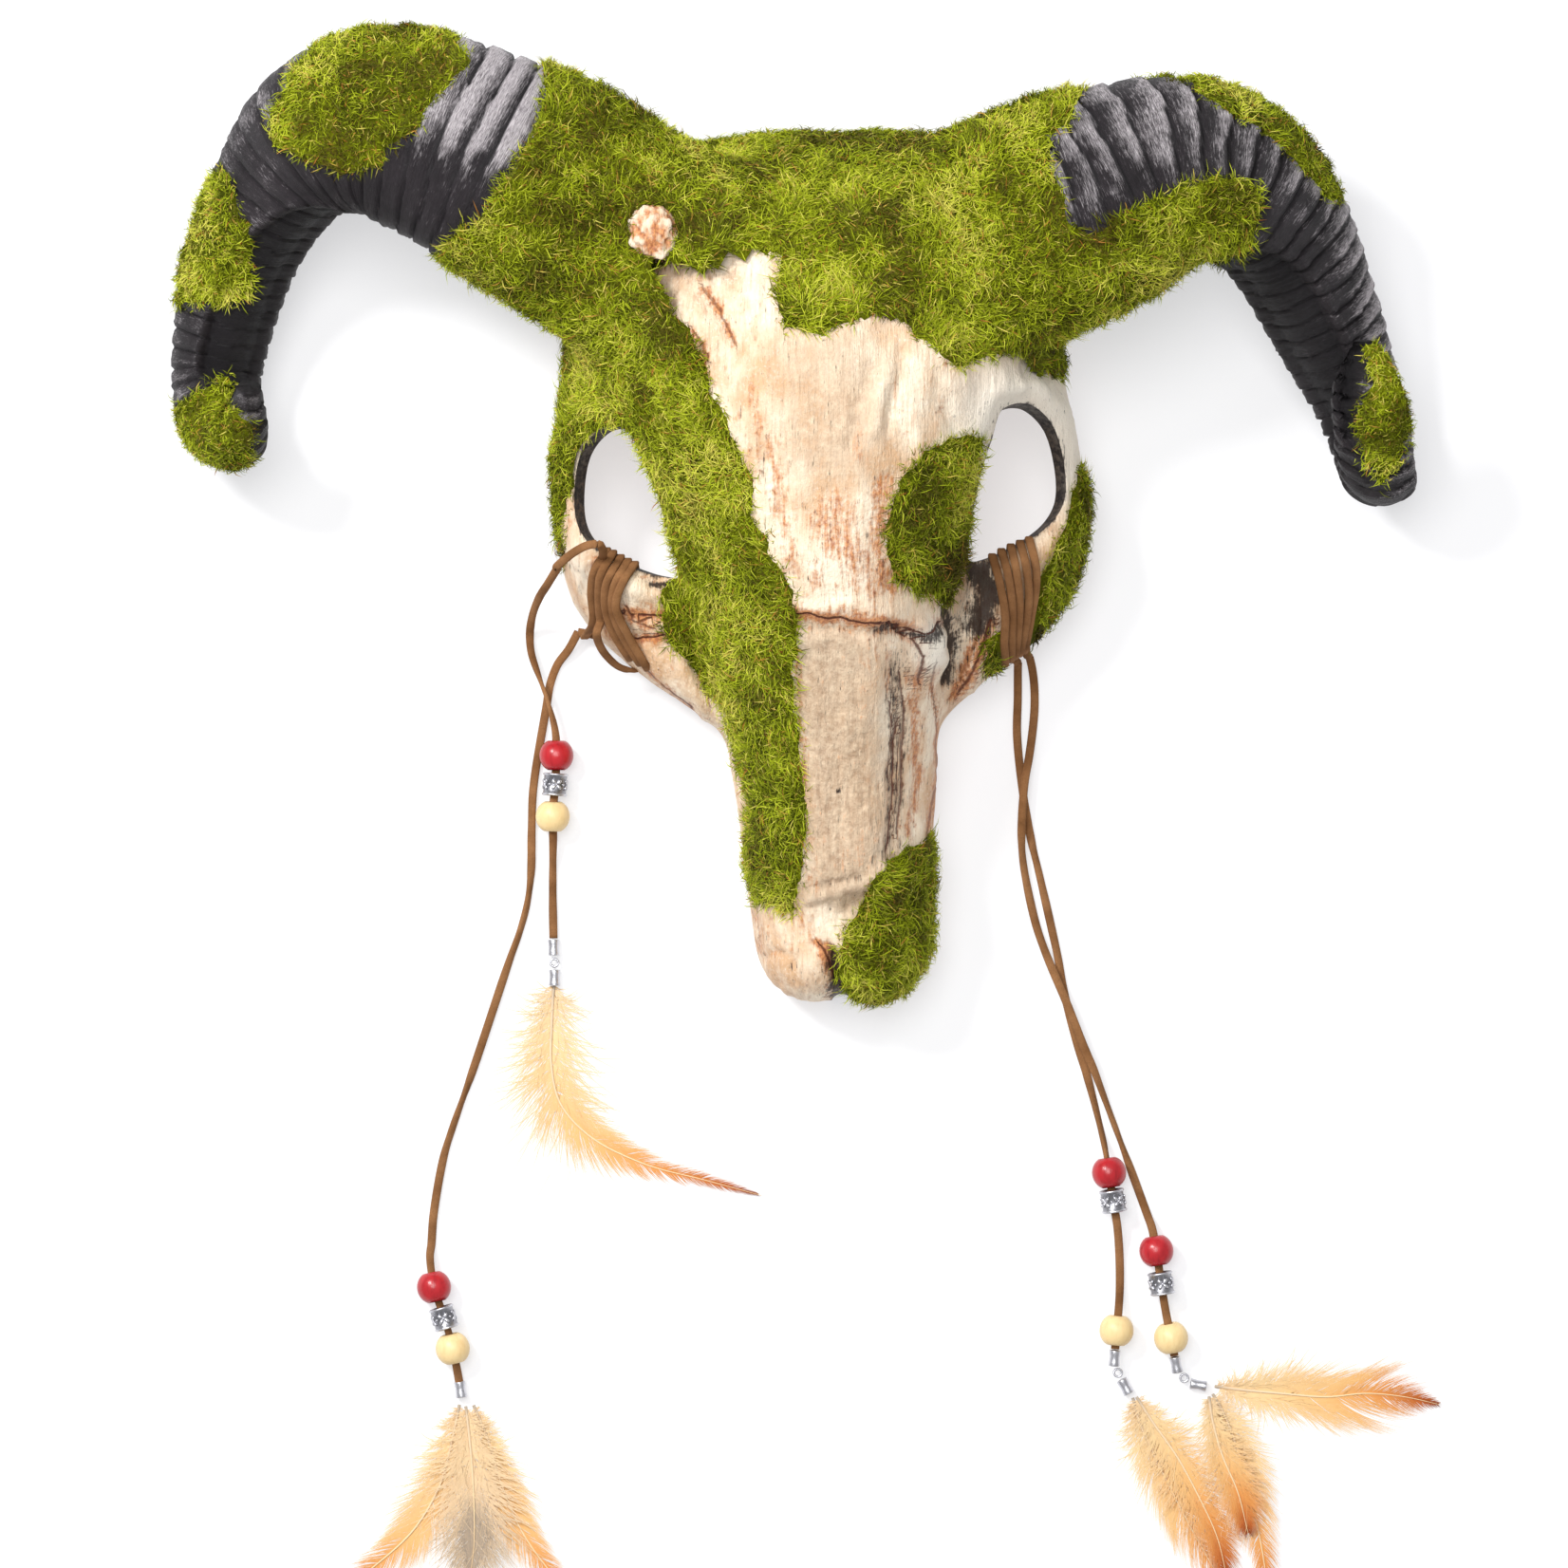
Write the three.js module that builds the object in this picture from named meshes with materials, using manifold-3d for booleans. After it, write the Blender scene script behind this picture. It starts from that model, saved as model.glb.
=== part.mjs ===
// Ram skull mask, lying face up. Millimetres, +Z up, +Y towards the horns, the nose towards -Y.
// A hollow cast skull face with two ringed horns, green moss mats, and a suede lace wound on each
// cheekbone, whose four free ends carry beads and feathers.
import * as THREE from 'three';
import { mergeVertices } from 'three/addons/utils/BufferGeometryUtils.js';
import Module from 'manifold-3d';

const wasm = await Module();
wasm.setup();

// Driving dimensions
const SKULL_TURN = THREE.MathUtils.degToRad(3.07);
const WALL = 3;
const HOLLOW_TUCK = 5;
const MAT_THICKNESS = 3.4;
const HORN_MAT_THICKNESS = 2.6;
const MAT_GAP = 0.35;
const HORN_GAP = 0.4;
const HORN_MAT_GAP = 1;
const MAT_LOWEST = 12;
const PRISM_TOP = 140;
const RING_DEPTH = 0.055;
const RING_PITCH_BASE = 12;
const RING_PITCH_TIP = 8.4;
const HORN_SIDES = 10;
const LACE_WIDTH = 2.4;
const TURN_PITCH = 3.2;
const TURN_COUNT = 4;
const WOUND_RADIUS = 1.2;
const TURN_CLEARANCE = 2.5;
const INNER_SLACK = 2;
const BEAD = { radius: 5, halfLength: 4.3, bore: 2.3, flat: 3.5, belt: 1.6 };
const BEAD_SIDES = 8;
const BARREL = { radius: 3.7, halfLength: 3.3, bore: 2.3 };
const CRIMP = { radius: 1.65, length: 4.6 };
const RING = { radius: 1.15, wire: 0.4 };
const TOUCH_GAP = 0.35;
const FEATHER_THICKNESS = 1.1;
const FEATHER_LAYER = 1.45;

const FINISH = {
  bone: { color: 0xe6cfb2, roughness: 0.62, metalness: 0 },
  horn: { color: 0x37323a, roughness: 0.5, metalness: 0.1 },
  moss: { color: 0x6f8f1d, roughness: 0.95, metalness: 0 },
  suede: { color: 0x8a633f, roughness: 0.9, metalness: 0 },
  red: { color: 0xb02830, roughness: 0.35, metalness: 0 },
  cream: { color: 0xf6dd9c, roughness: 0.45, metalness: 0 },
  silver: { color: 0xaeb0b6, roughness: 0.35, metalness: 0.9 },
  feather: { color: 0xeec591, roughness: 0.85, metalness: 0 },
};

// The skull, station by station along its axis v, seen from above with u to the right:
// [v, half width, ridge height, cheek height, rim height, nose half width]
const SKULL = [
  [-145.5, 8, 20, 13, 0, 8],
  [-143, 16, 28, 20, 0, 16],
  [-139, 21.5, 34, 26, 0, 21.5],
  [-132, 25, 39, 30, 0, 25],
  [-118, 26.6, 43, 34, 0, 26.6],
  [-110, 27.3, 49.5, 37, 0, 27.3],
  [-95, 28.3, 54, 40, 0, 28.3],
  [-78, 30, 60, 42, 0, 30],
  [-66, 32.5, 65, 40, 3, 31.5],
  [-56, 43.5, 69, 36, 8, 33],
  [-46, 57, 73, 37, 10, 36],
  [-32, 69.8, 79, 40, 10, 39.5],
  [-18, 75.4, 84, 45, 10, 44],
  [0, 76, 87, 52, 10, 52],
  [20, 74.4, 88, 60, 10, 62],
  [40, 72.2, 86, 64, 8, 72.2],
  [60, 69, 80, 62, 3, 69],
  [80, 65, 71, 55, 0, 65],
  [91, 59, 61, 47, 0, 59],
  [98, 53, 50, 38, 0, 53],
  [102.3, 46, 38, 28, 0, 46],
  [104, 38, 24, 18, 0, 38],
];
const SKULL_MIDDLE = (SKULL[0][0] + SKULL.at(-1)[0]) / 2;
const SKULL_LENGTH = SKULL.at(-1)[0] - SKULL[0][0];
const NOSE_POWER = 2.5;
const CHEEK_POWER = 4.5;
const BLEND = 4;
const CREVICE = { depth: 7, width: 2.6, from: -66, to: -20 };
const EYE = { u: 57.2, v: 0.8, long: 24, short: 12.2, turn: THREE.MathUtils.degToRad(61) };
const EYE_RIM = { height: 3.6, width: 4.2, away: 3.2 };
const EYE_OUTLINE = [
  [53, 21.5], [60.5, 23], [67.4, 17.5], [70.6, 6], [70.2, -4], [66.6, -10],
  [59.8, -15], [48, -20], [41.5, -20.4], [43, -8], [46.2, 4.5], [49.4, 13],
];
const LIP_NOTCH = { u: -1.5, v: -147, radius: 3.2 };

// Horn centre lines: [x, y, z, half width across, half height]
const HORN_LEFT = [
  [-56.7, 73.6, 52, 31, 26], [-74.2, 84.7, 54, 32, 26], [-91.2, 93.5, 55, 31, 26],
  [-109.4, 101.7, 54, 29, 25], [-127.1, 105.9, 50, 26.5, 24], [-143.9, 101.4, 43, 22.8, 21],
  [-156.8, 87.3, 34, 18.5, 18], [-166.3, 70.3, 25, 16, 16], [-171.7, 52.9, 19, 14.6, 14.5],
  [-174.6, 36.5, 16.5, 13.2, 13], [-173.7, 24.5, 21, 11.6, 11.5], [-169.1, 18.2, 32, 9.8, 9.5],
  [-165.4, 21.5, 43.5, 7.8, 7], [-163, 31, 51, 4, 3.5],
];
const HORN_RIGHT = [
  [39.3, 68.2, 50, 31, 26], [59.5, 77.4, 54, 32, 26], [75.9, 83.3, 55, 31.3, 26],
  [93.8, 90.7, 53, 28, 25], [110.4, 92.3, 48, 24.5, 23], [123.3, 85.8, 42, 22.3, 21],
  [133.1, 75, 34, 20.2, 19], [141.7, 59.2, 26, 17.8, 17], [148.7, 44.5, 20, 15.7, 15.5],
  [155.3, 29.6, 16, 13.2, 13], [159.6, 14.3, 17.5, 11.6, 10.5], [160.3, 6.5, 29, 11.6, 8],
  [158, 16, 42, 11.8, 6.5], [155.8, 30.3, 50.5, 10.8, 5], [154.6, 43.5, 55.5, 3.2, 2.4],
];

// Plan outlines of the moss mats
const MOSS_HEAD = [
  [-79, 128], [0, 118], [78, 124], [69.5, 104.2], [62, 99.4], [69.5, 75.9],
  [76, 72.4], [93, 81.6], [111, 89.1], [124.8, 88], [122.5, 70], [107, 67.5],
  [93, 54], [80, 46], [69.5, 36], [62, 36], [56.6, 41.9], [38, 35.8],
  [26.8, 43.2], [23.1, 49.6], [13.5, 50.4], [0.4, 44.3], [-9.9, 46.2], [-12.9, 51],
  [-11, 65.9], [-15.5, 69.6], [-27.8, 68.3], [-32.3, 62.1], [-40.8, 65.9], [-44, 78.7],
  [-53.6, 77.9], [-49.1, 62.1], [-34.2, 36.8], [-19.5, 3], [-19, -7.7],
  [-7.5, -29.8], [-7.5, -62.8], [-4.3, -97.4], [-8.3, -119], [-18, -116.3], [-22.1, -107.1],
  [-20.2, -87.9], [-26.7, -62.2], [-35.6, -49.6], [-44, -42], [-46.4, -30.4], [-41.3, -21.5],
  [-55, 0], [-69, 5], [-74.5, -5], [-75, -19], [-86, -19], [-88, 5], [-84, 40], [-98, 48],
  [-110.5, 66.5], [-95.9, 77.4], [-82.2, 97.3], [-77.7, 112.3],
];
const MOSS_PATCHES = {
  moss_mat_beside_right_eye: [
    [45.4, 15.6], [37.1, 15.6], [29.1, 10.8], [22.1, 2.5], [17.8, -10.5], [20.8, -24],
    [26.4, -28], [35.8, -30.9], [40.1, -21.3],
  ],
  moss_mat_right_cheek: [
    [74.3, 9.5], [84, 5], [86, -10], [82, -26], [72, -42], [64.6, -42], [64.6, -32],
    [67, -20], [72.6, -6],
  ],
  moss_mat_muzzle_tip: [
    [37, -94.5], [20, -104], [14.3, -112.4], [6.9, -125.8], [5.6, -136.9], [9.6, -150],
    [36, -150], [39, -120],
  ],
};
const HORN_MATS = {
  moss_mat_left_horn_bow: {
    horn: 'left',
    reach: [0.15, 0.62],
    lowest: 42,
    outline: [
      [-149, 121], [-137, 140], [-110, 140], [-103, 128.5], [-99.1, 122.1], [-109.8, 110.8],
      [-113.6, 102.3], [-121.9, 97.7], [-124.8, 92.1], [-135.3, 90.5], [-155.3, 99.6],
      [-156.5, 107],
    ],
  },
  moss_mat_left_horn_side: {
    horn: 'left',
    reach: [0.5, 0.82],
    lowest: 14,
    outline: [
      [-169.9, 92.7], [-182, 92], [-192, 56], [-177.5, 56.5], [-166.9, 56.5], [-163.1, 61.6],
      [-163.1, 68.2], [-166.9, 85.6],
    ],
  },
  moss_mat_left_horn_tip: {
    horn: 'left',
    reach: [0.76, 1],
    lowest: 15,
    outline: [
      [-170.5, 36], [-174.5, 33.1], [-184.1, 28], [-192, 28], [-188, 4], [-171, 4],
      [-163.1, 11.2], [-162.5, 20], [-168, 25],
    ],
  },
  moss_mat_right_horn_top: {
    horn: 'right',
    reach: [0.15, 0.62],
    lowest: 40,
    outline: [
      [90, 119.5], [104.9, 116.6], [110.5, 111.2], [127.6, 101.5], [141.6, 89.6], [145.6, 84],
      [156, 88], [140, 115], [112, 127], [90, 127],
    ],
  },
  moss_mat_right_horn_tip: {
    horn: 'right',
    reach: [0.83, 1],
    lowest: 24,
    outline: [
      [152.6, 48], [155.7, 44.6], [153.8, 37], [154.9, 25.6], [151.1, 17.1], [154.9, 10.4],
      [159.5, 2], [171, 4], [174, 17.1], [174, 29.4], [166, 50], [157, 58],
    ],
  },
};

// Lace routes from the cheekbone to the lace's end, [x, y, z]
const FLOOR_Z = 1.4;
const BEAD_Z = 5.2;
const ROUTES = {
  lace_left_short: [
    [-75.5, -20.1, 36.5], [-78.6, -24.5, 29], [-81.5, -28.3, 19], [-84, -33.8, 7],
    [-84.8, -39, 2.2], [-84.3, -44, 3.4], [-81.8, -51.5, 4.6], [-79.6, -57.6, 5.4],
    [-77.8, -64, 5.3], [-77.1, -68.1, BEAD_Z], [-76.9, -73.9, BEAD_Z], [-77.3, -82.5, BEAD_Z],
    [-78, -91.7, BEAD_Z], [-77.9, -98, 4.4], [-78.1, -108, 1.8], [-78.1, -117, 1.6],
    [-77.9, -127.4, 1.75],
  ],
  lace_left_long: [
    [-70.6, -37.9, 4.6], [-73.4, -42.9, 3], [-76.7, -47.3, FLOOR_Z], [-78.8, -52.8, FLOOR_Z],
    [-80, -59.8, FLOOR_Z], [-83.8, -83.4, FLOOR_Z], [-84.3, -95.8, FLOOR_Z],
    [-84.5, -108.3, FLOOR_Z], [-85.6, -117.2, FLOOR_Z], [-87.9, -125.8, FLOOR_Z],
    [-90.6, -133.3, FLOOR_Z], [-101.7, -166.6, FLOOR_Z], [-107.6, -183.3, FLOOR_Z],
    [-110.1, -191.6, FLOOR_Z], [-113, -208.3, FLOOR_Z], [-113.6, -216.6, FLOOR_Z],
    [-113.9, -220.5, 3.6], [-112.4, -230.2, BEAD_Z], [-111, -234.2, BEAD_Z],
    [-108.2, -243, BEAD_Z], [-107.1, -247.4, BEAD_Z], [-106.2, -251.9, 5],
  ],
  lace_right_inner: [
    [57.9, -46.9, 3.2], [57.9, -48.7, 2.2], [57.9, -57, FLOOR_Z], [57.7, -68.1, FLOOR_Z],
    [59.3, -83.9, FLOOR_Z], [60.6, -92.2, FLOOR_Z], [62.1, -100, FLOOR_Z],
    [64.1, -108.3, FLOOR_Z], [67.9, -125, FLOOR_Z], [69.6, -132.8, FLOOR_Z],
    [71.1, -141.6, FLOOR_Z], [75.3, -158.3, FLOOR_Z], [77.9, -166.6, FLOOR_Z],
    [82.2, -183.3, FLOOR_Z], [83.5, -190, 4.6], [84.4, -195.7, BEAD_Z], [85.6, -204, BEAD_Z],
    [86.8, -211, 4.6], [87.6, -220, 2], [87.7, -229, 2.3], [87.2, -236, 4.6],
    [86.6, -241.7, BEAD_Z], [86.2, -247.2, 5],
  ],
  lace_right_outer: [
    [61.3, -45.3, 3.4], [62.1, -48.7, 2.4], [62.7, -53.4, FLOOR_Z], [62.8, -59.8, FLOOR_Z],
    [62.3, -66.1, FLOOR_Z], [61.2, -73.9, 3], [59.9, -81.1, 4.05], [59.2, -88.9, 4.05],
    [58.9, -97.2, 4.05], [59.4, -105, 2.6], [62.9, -122.2, FLOOR_Z], [65.8, -131.1, 2.9],
    [72.7, -147.7, 4.05], [76.8, -158.2, 4.05], [80.3, -166.5, 4.05], [83.2, -174.1, 2.4],
    [89.7, -191.6, FLOOR_Z], [95.8, -208.3, FLOOR_Z], [97, -212, 4.2], [98.2, -218.4, BEAD_Z],
    [99.6, -227.9, BEAD_Z], [101, -236.5, BEAD_Z], [102.5, -243.9, BEAD_Z], [103.5, -249.2, 4.8],
  ],
};
const LACE_SIDES = 8;

// What each lace end carries: the plan points that the pieces sit nearest to
const STRINGS = {
  left_short: { lace: 'lace_left_short', red: [-76.8, -73.9], barrel: [-77.3, -82.5], cream: [-78.2, -91.7] },
  left_long: { lace: 'lace_left_long', red: [-112.5, -229.2], barrel: [-109.4, -238], cream: [-107.3, -247] },
  right_inner: { lace: 'lace_right_inner', red: [84.7, -195.7], barrel: [85.8, -204], cream: [86.5, -241.7] },
  right_outer: { lace: 'lace_right_outer', red: [98.4, -218.4], barrel: [99.6, -227.9], cream: [102.6, -243.9] },
};
const FEATHER_CRIMPS = {
  left_short: { at: [-77.6, -136.6], towards: [-77.6, -150] },
  left_long: { at: [-105.4, -257], towards: [-103.8, -268] },
  right_inner: { at: [88.2, -256.4], towards: [92.4, -264] },
  right_outer: { at: [108.4, -257.6], towards: [120, -259.6] },
};

// Feathers: centre line [x, y, half width] from the quill to the tip, and the layer it lies in
const FEATHERS = {
  feather_left_short: { layer: 0, line: [
    [-77.6, -144.5, 1.4], [-78.2, -154, 7.5], [-78.6, -165, 11.5], [-76, -176.5, 10],
    [-67, -185.5, 6.5], [-51, -193.5, 4], [-34, -198, 2.4], [-17, -202.6, 0.5],
  ] },
  feather_left_long_a: { layer: 0, line: [
    [-105.4, -263.8, 1.2], [-107.5, -274, 7], [-111, -287, 10.5], [-118.5, -300, 8.5],
    [-129, -310, 6], [-143, -320, 3.5], [-154, -326, 0.5],
  ] },
  feather_left_long_b: { layer: 1, line: [
    [-101.2, -263.8, 1.2], [-97, -274, 5], [-93, -287, 8.5], [-87.5, -300, 7],
    [-80, -311, 5], [-71, -321, 3], [-63, -328, 0.5],
  ] },
  feather_left_long_c: { layer: 2, line: [
    [-103.4, -264, 1.2], [-102.5, -272, 7], [-101.5, -283, 13], [-101, -294, 13.5],
    [-101, -304, 7.5], [-102, -313, 1],
  ] },
  feather_right_inner_a: { layer: 0, line: [
    [91.6, -261.8, 1.4], [94, -270, 7], [99, -281, 10], [105, -293, 9.5], [112, -306, 6.5],
    [120, -319, 3.5], [128, -330, 0.5],
  ] },
  feather_right_inner_b: { layer: 1, line: [
    [92.6, -261.4, 1.4], [97.5, -269, 6], [104.5, -279, 9], [110.5, -290, 8.5],
    [116, -302, 6], [119, -314, 1],
  ] },
  feather_right_outer_a: { layer: 0, line: [
    [115.5, -258.4, 1.4], [124, -259.5, 7], [135, -260.5, 11], [148, -261.5, 13.5],
    [160, -260.5, 9], [171, -261.5, 4.5], [181.5, -263.8, 0.5],
  ] },
  feather_right_outer_b: { layer: 2, line: [
    [114.8, -260.4, 1.4], [118.4, -267, 6.5], [122, -277, 9], [125.4, -290, 8],
    [128.6, -303, 5.5], [130.6, -316, 3.5], [131.6, -328, 0.5],
  ] },
  feather_right_outer_c: { layer: 3, line: [
    [113.6, -261, 1.4], [114.6, -268, 5], [117.4, -278, 7.5], [122, -289, 7], [125, -301, 1],
  ] },
};

// Table reading: a smooth curve through the rows of a table, by its first column
function along(table, column, at) {
  const last = table.length - 1;
  if (at <= table[0][0]) return table[0][column];
  if (at >= table[last][0]) return table[last][column];
  let i = 0;
  while (table[i + 1][0] < at) i += 1;
  const slope = (k) => {
    const a = Math.max(0, k - 1);
    const b = Math.min(last, k + 1);
    return (table[b][column] - table[a][column]) / (table[b][0] - table[a][0]);
  };
  const span = table[i + 1][0] - table[i][0];
  const t = (at - table[i][0]) / span;
  const t2 = t * t;
  const t3 = t2 * t;
  return (
    (2 * t3 - 3 * t2 + 1) * table[i][column] +
    (t3 - 2 * t2 + t) * span * slope(i) +
    (3 * t2 - 2 * t3) * table[i + 1][column] +
    (t3 - t2) * span * slope(i + 1)
  );
}

function bell(distance, width) {
  return Math.exp(-((distance / width) ** 2));
}

function smoothMax(a, b, blend) {
  const mix = Math.max(blend - Math.abs(a - b), 0) / blend;
  return Math.max(a, b) + (mix * mix * blend) / 4;
}

function dome(t, power) {
  const inside = Math.min(Math.abs(t), 1);
  return Math.sqrt(1 - inside ** power);
}

// The skull's surface, as a height over the plan, grown outwards by some millimetres
function skullStation(v, grow) {
  const stretched = SKULL_MIDDLE + ((v - SKULL_MIDDLE) * SKULL_LENGTH) / (SKULL_LENGTH + 2 * grow);
  // The hollow keeps clear of the crevices beside the nose
  const tuck = grow < 0 ? HOLLOW_TUCK : 0;
  return {
    half: along(SKULL, 1, stretched) + grow,
    ridge: along(SKULL, 2, stretched) + grow,
    cheek: along(SKULL, 3, stretched) + grow - tuck,
    rim: Math.max(0, along(SKULL, 4, stretched)),
    nose: along(SKULL, 5, stretched) + grow - tuck,
  };
}

function eyeDistance(u, v) {
  const du = Math.abs(u) - EYE.u;
  const dv = v - EYE.v;
  const along61 = du * Math.cos(EYE.turn) + dv * Math.sin(EYE.turn);
  const across = dv * Math.cos(EYE.turn) - du * Math.sin(EYE.turn);
  return (Math.hypot(along61 / EYE.long, across / EYE.short) - 1) * EYE.short;
}

function skullHeight(u, v, grow) {
  const s = skullStation(v, grow);
  const nose = (s.ridge - s.rim) * dome(u / s.nose, NOSE_POWER);
  const cheek = (s.cheek - s.rim) * dome(u / s.half, CHEEK_POWER);
  const edge = dome(u / s.half, CHEEK_POWER);
  const window = THREE.MathUtils.smoothstep(v, CREVICE.from, CREVICE.from + 8) *
    (1 - THREE.MathUtils.smoothstep(v, CREVICE.to - 8, CREVICE.to));
  const crevice = CREVICE.depth * window * bell(Math.abs(u) - s.nose - 1.5, CREVICE.width);
  const outer = THREE.MathUtils.smoothstep(Math.abs(u), 44, 56);
  const rim = EYE_RIM.height * outer * bell(eyeDistance(u, v) - EYE_RIM.away, EYE_RIM.width);
  return s.rim + smoothMax(nose, cheek, BLEND) * Math.min(1, edge * 3) - (crevice - rim) * edge;
}

// Geometry helpers
function toGeometry(positions, triangles) {
  const geometry = new THREE.BufferGeometry();
  geometry.setAttribute('position', new THREE.Float32BufferAttribute(positions, 3));
  geometry.setIndex(triangles);
  return geometry;
}

function welded(geometry) {
  const bare = geometry.clone();
  bare.deleteAttribute('normal');
  bare.deleteAttribute('uv');
  return mergeVertices(bare, 1e-4);
}

function solidOf(geometry) {
  const merged = welded(geometry);
  const mesh = new wasm.Mesh({
    numProp: 3,
    vertProperties: new Float32Array(merged.attributes.position.array),
    triVerts: new Uint32Array(merged.index.array),
  });
  return new wasm.Manifold(mesh);
}

function geometryOf(solid) {
  const mesh = solid.getMesh();
  return toGeometry([...mesh.vertProperties], [...mesh.triVerts]);
}

// A closed skin over rows of points, each row of equal length. Rows close on themselves.
function skinOfRings(rings) {
  const n = rings[0].length;
  const positions = rings.flat().flatMap((p) => [p.x, p.y, p.z]);
  const triangles = [];
  for (let j = 0; j + 1 < rings.length; j += 1) {
    for (let i = 0; i < n; i += 1) {
      const a = j * n + i;
      const b = j * n + ((i + 1) % n);
      triangles.push(a, b, b + n, a, b + n, a + n);
    }
  }
  const capped = (ring, flip) => {
    const centre = ring.reduce((sum, p) => sum.add(p), new THREE.Vector3()).divideScalar(n);
    const base = positions.length / 3;
    positions.push(centre.x, centre.y, centre.z);
    const row = flip ? (rings.length - 1) * n : 0;
    for (let i = 0; i < n; i += 1) {
      const a = row + i;
      const b = row + ((i + 1) % n);
      triangles.push(...(flip ? [base, a, b] : [base, b, a]));
    }
  };
  capped(rings[0], false);
  capped(rings.at(-1), true);
  return toGeometry(positions, triangles);
}

function outward(geometry) {
  const position = geometry.attributes.position;
  const index = geometry.index.array;
  let volume = 0;
  const [a, b, c] = [new THREE.Vector3(), new THREE.Vector3(), new THREE.Vector3()];
  for (let i = 0; i < index.length; i += 3) {
    a.fromBufferAttribute(position, index[i]);
    b.fromBufferAttribute(position, index[i + 1]);
    c.fromBufferAttribute(position, index[i + 2]);
    volume += a.dot(b.cross(c));
  }
  if (volume < 0) {
    for (let i = 0; i < index.length; i += 3) [index[i + 1], index[i + 2]] = [index[i + 2], index[i + 1]];
  }
  return geometry;
}

// A filled skull form: rows across the skull, closed underneath at the rim or lower
function skullSolid(grow, stationValues, sides, floorDrop) {
  const rings = stationValues.map((value) => {
    const v = SKULL_MIDDLE + ((value - SKULL_MIDDLE) * (SKULL_LENGTH + 2 * grow)) / SKULL_LENGTH;
    const { half, rim } = skullStation(v, grow);
    const ring = [];
    for (let i = 0; i <= sides; i += 1) {
      const u = -half * Math.cos((Math.PI * i) / sides);
      const z = i === 0 || i === sides ? rim : skullHeight(u, v, grow);
      ring.push(new THREE.Vector3(u, v, z));
    }
    if (floorDrop > 0) {
      ring.push(new THREE.Vector3(half, v, -floorDrop), new THREE.Vector3(-half, v, -floorDrop));
    }
    return ring;
  });
  const geometry = outward(skinOfRings(rings));
  geometry.rotateZ(SKULL_TURN);
  return solidOf(geometry);
}

function prism(outline, bottom, top) {
  const shape = new THREE.Shape(outline.map(([x, y]) => new THREE.Vector2(x, y)));
  const geometry = new THREE.ExtrudeGeometry(shape, { depth: top - bottom, bevelEnabled: false });
  geometry.translate(0, 0, bottom);
  return solidOf(geometry);
}

function smoothOutline(points, perSide) {
  const curve = new THREE.CatmullRomCurve3(points.map(([u, v]) => new THREE.Vector3(u, v, 0)), true);
  return curve.getPoints(points.length * perSide).slice(0, -1).map((p) => [p.x, p.y]);
}

function turned([u, v]) {
  const c = Math.cos(SKULL_TURN);
  const s = Math.sin(SKULL_TURN);
  return [u * c - v * s, u * s + v * c];
}

// Skull shell
const stationRows = SKULL.map((row) => row[0]);
const fineStations = stationRows.flatMap((v, i) => {
  const next = stationRows[i + 1];
  return next !== undefined && next - v >= 20 ? [v, (v + next) / 2] : [v];
});
const coarseStations = stationRows.filter((v, i) => i % 2 === 0 || i === stationRows.length - 1);
const SKULL_SIDES = 14;
const INNER_SIDES = 12;
const MAT_SIDES = 12;

const skullFilled = skullSolid(0, fineStations, SKULL_SIDES, 0);
const skullCleared = skullSolid(HORN_GAP, fineStations, SKULL_SIDES, 0);
const skullHollow = skullSolid(-WALL, coarseStations, INNER_SIDES, WALL);

function eyePrism(side) {
  const outline = smoothOutline(EYE_OUTLINE.map(([u, v]) => [u * side, v]), 2).map(turned);
  return prism(side > 0 ? outline : outline.reverse(), -5, PRISM_TOP);
}

function lipNotch() {
  const [x, y] = turned([LIP_NOTCH.u, LIP_NOTCH.v]);
  const cutter = new THREE.CylinderGeometry(LIP_NOTCH.radius, LIP_NOTCH.radius, PRISM_TOP, 8);
  cutter.rotateX(Math.PI / 2);
  cutter.translate(x, y, 0);
  return solidOf(cutter);
}

const eyes = eyePrism(1).add(eyePrism(-1));
const skullShell = skullFilled.subtract(skullHollow).subtract(eyes).subtract(lipNotch());

// Horns: rings of points square to the centre line, carried along without twist
function hornFrames(rows, steps) {
  const curve = new THREE.CatmullRomCurve3(rows.map((r) => new THREE.Vector3(r[0], r[1], r[2])), false, 'centripetal');
  const length = curve.getLength();
  const knots = rows.map((r, i) => {
    const t = i / (rows.length - 1);
    return [t, r[3], r[4]];
  });
  const frames = [];
  let side = null;
  for (const s of steps(length)) {
    const share = Math.min(1, s / length);
    const t = curve.getUtoTmapping(share);
    const tangent = curve.getTangent(t);
    if (side === null) side = new THREE.Vector3().crossVectors(tangent, new THREE.Vector3(0, 0, 1));
    side.addScaledVector(tangent, -side.dot(tangent)).normalize();
    frames.push({
      centre: curve.getPoint(t),
      side: side.clone(),
      up: new THREE.Vector3().crossVectors(side, tangent).normalize(),
      across: along(knots, 1, t),
      high: along(knots, 2, t),
      share,
    });
  }
  return frames;
}

function hornSection(frame, factor, grow, sides) {
  const points = [];
  for (let i = 0; i < sides; i += 1) {
    const angle = (2 * Math.PI * i) / sides;
    const bulge = 1 + 0.05 * Math.cos(3 * angle - Math.PI / 2);
    const a = (frame.across * factor * bulge + grow) * Math.cos(angle);
    const b = (frame.high * factor * bulge + grow) * Math.sin(angle);
    points.push(frame.centre.clone().addScaledVector(frame.side, a).addScaledVector(frame.up, b));
  }
  return points;
}

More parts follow.
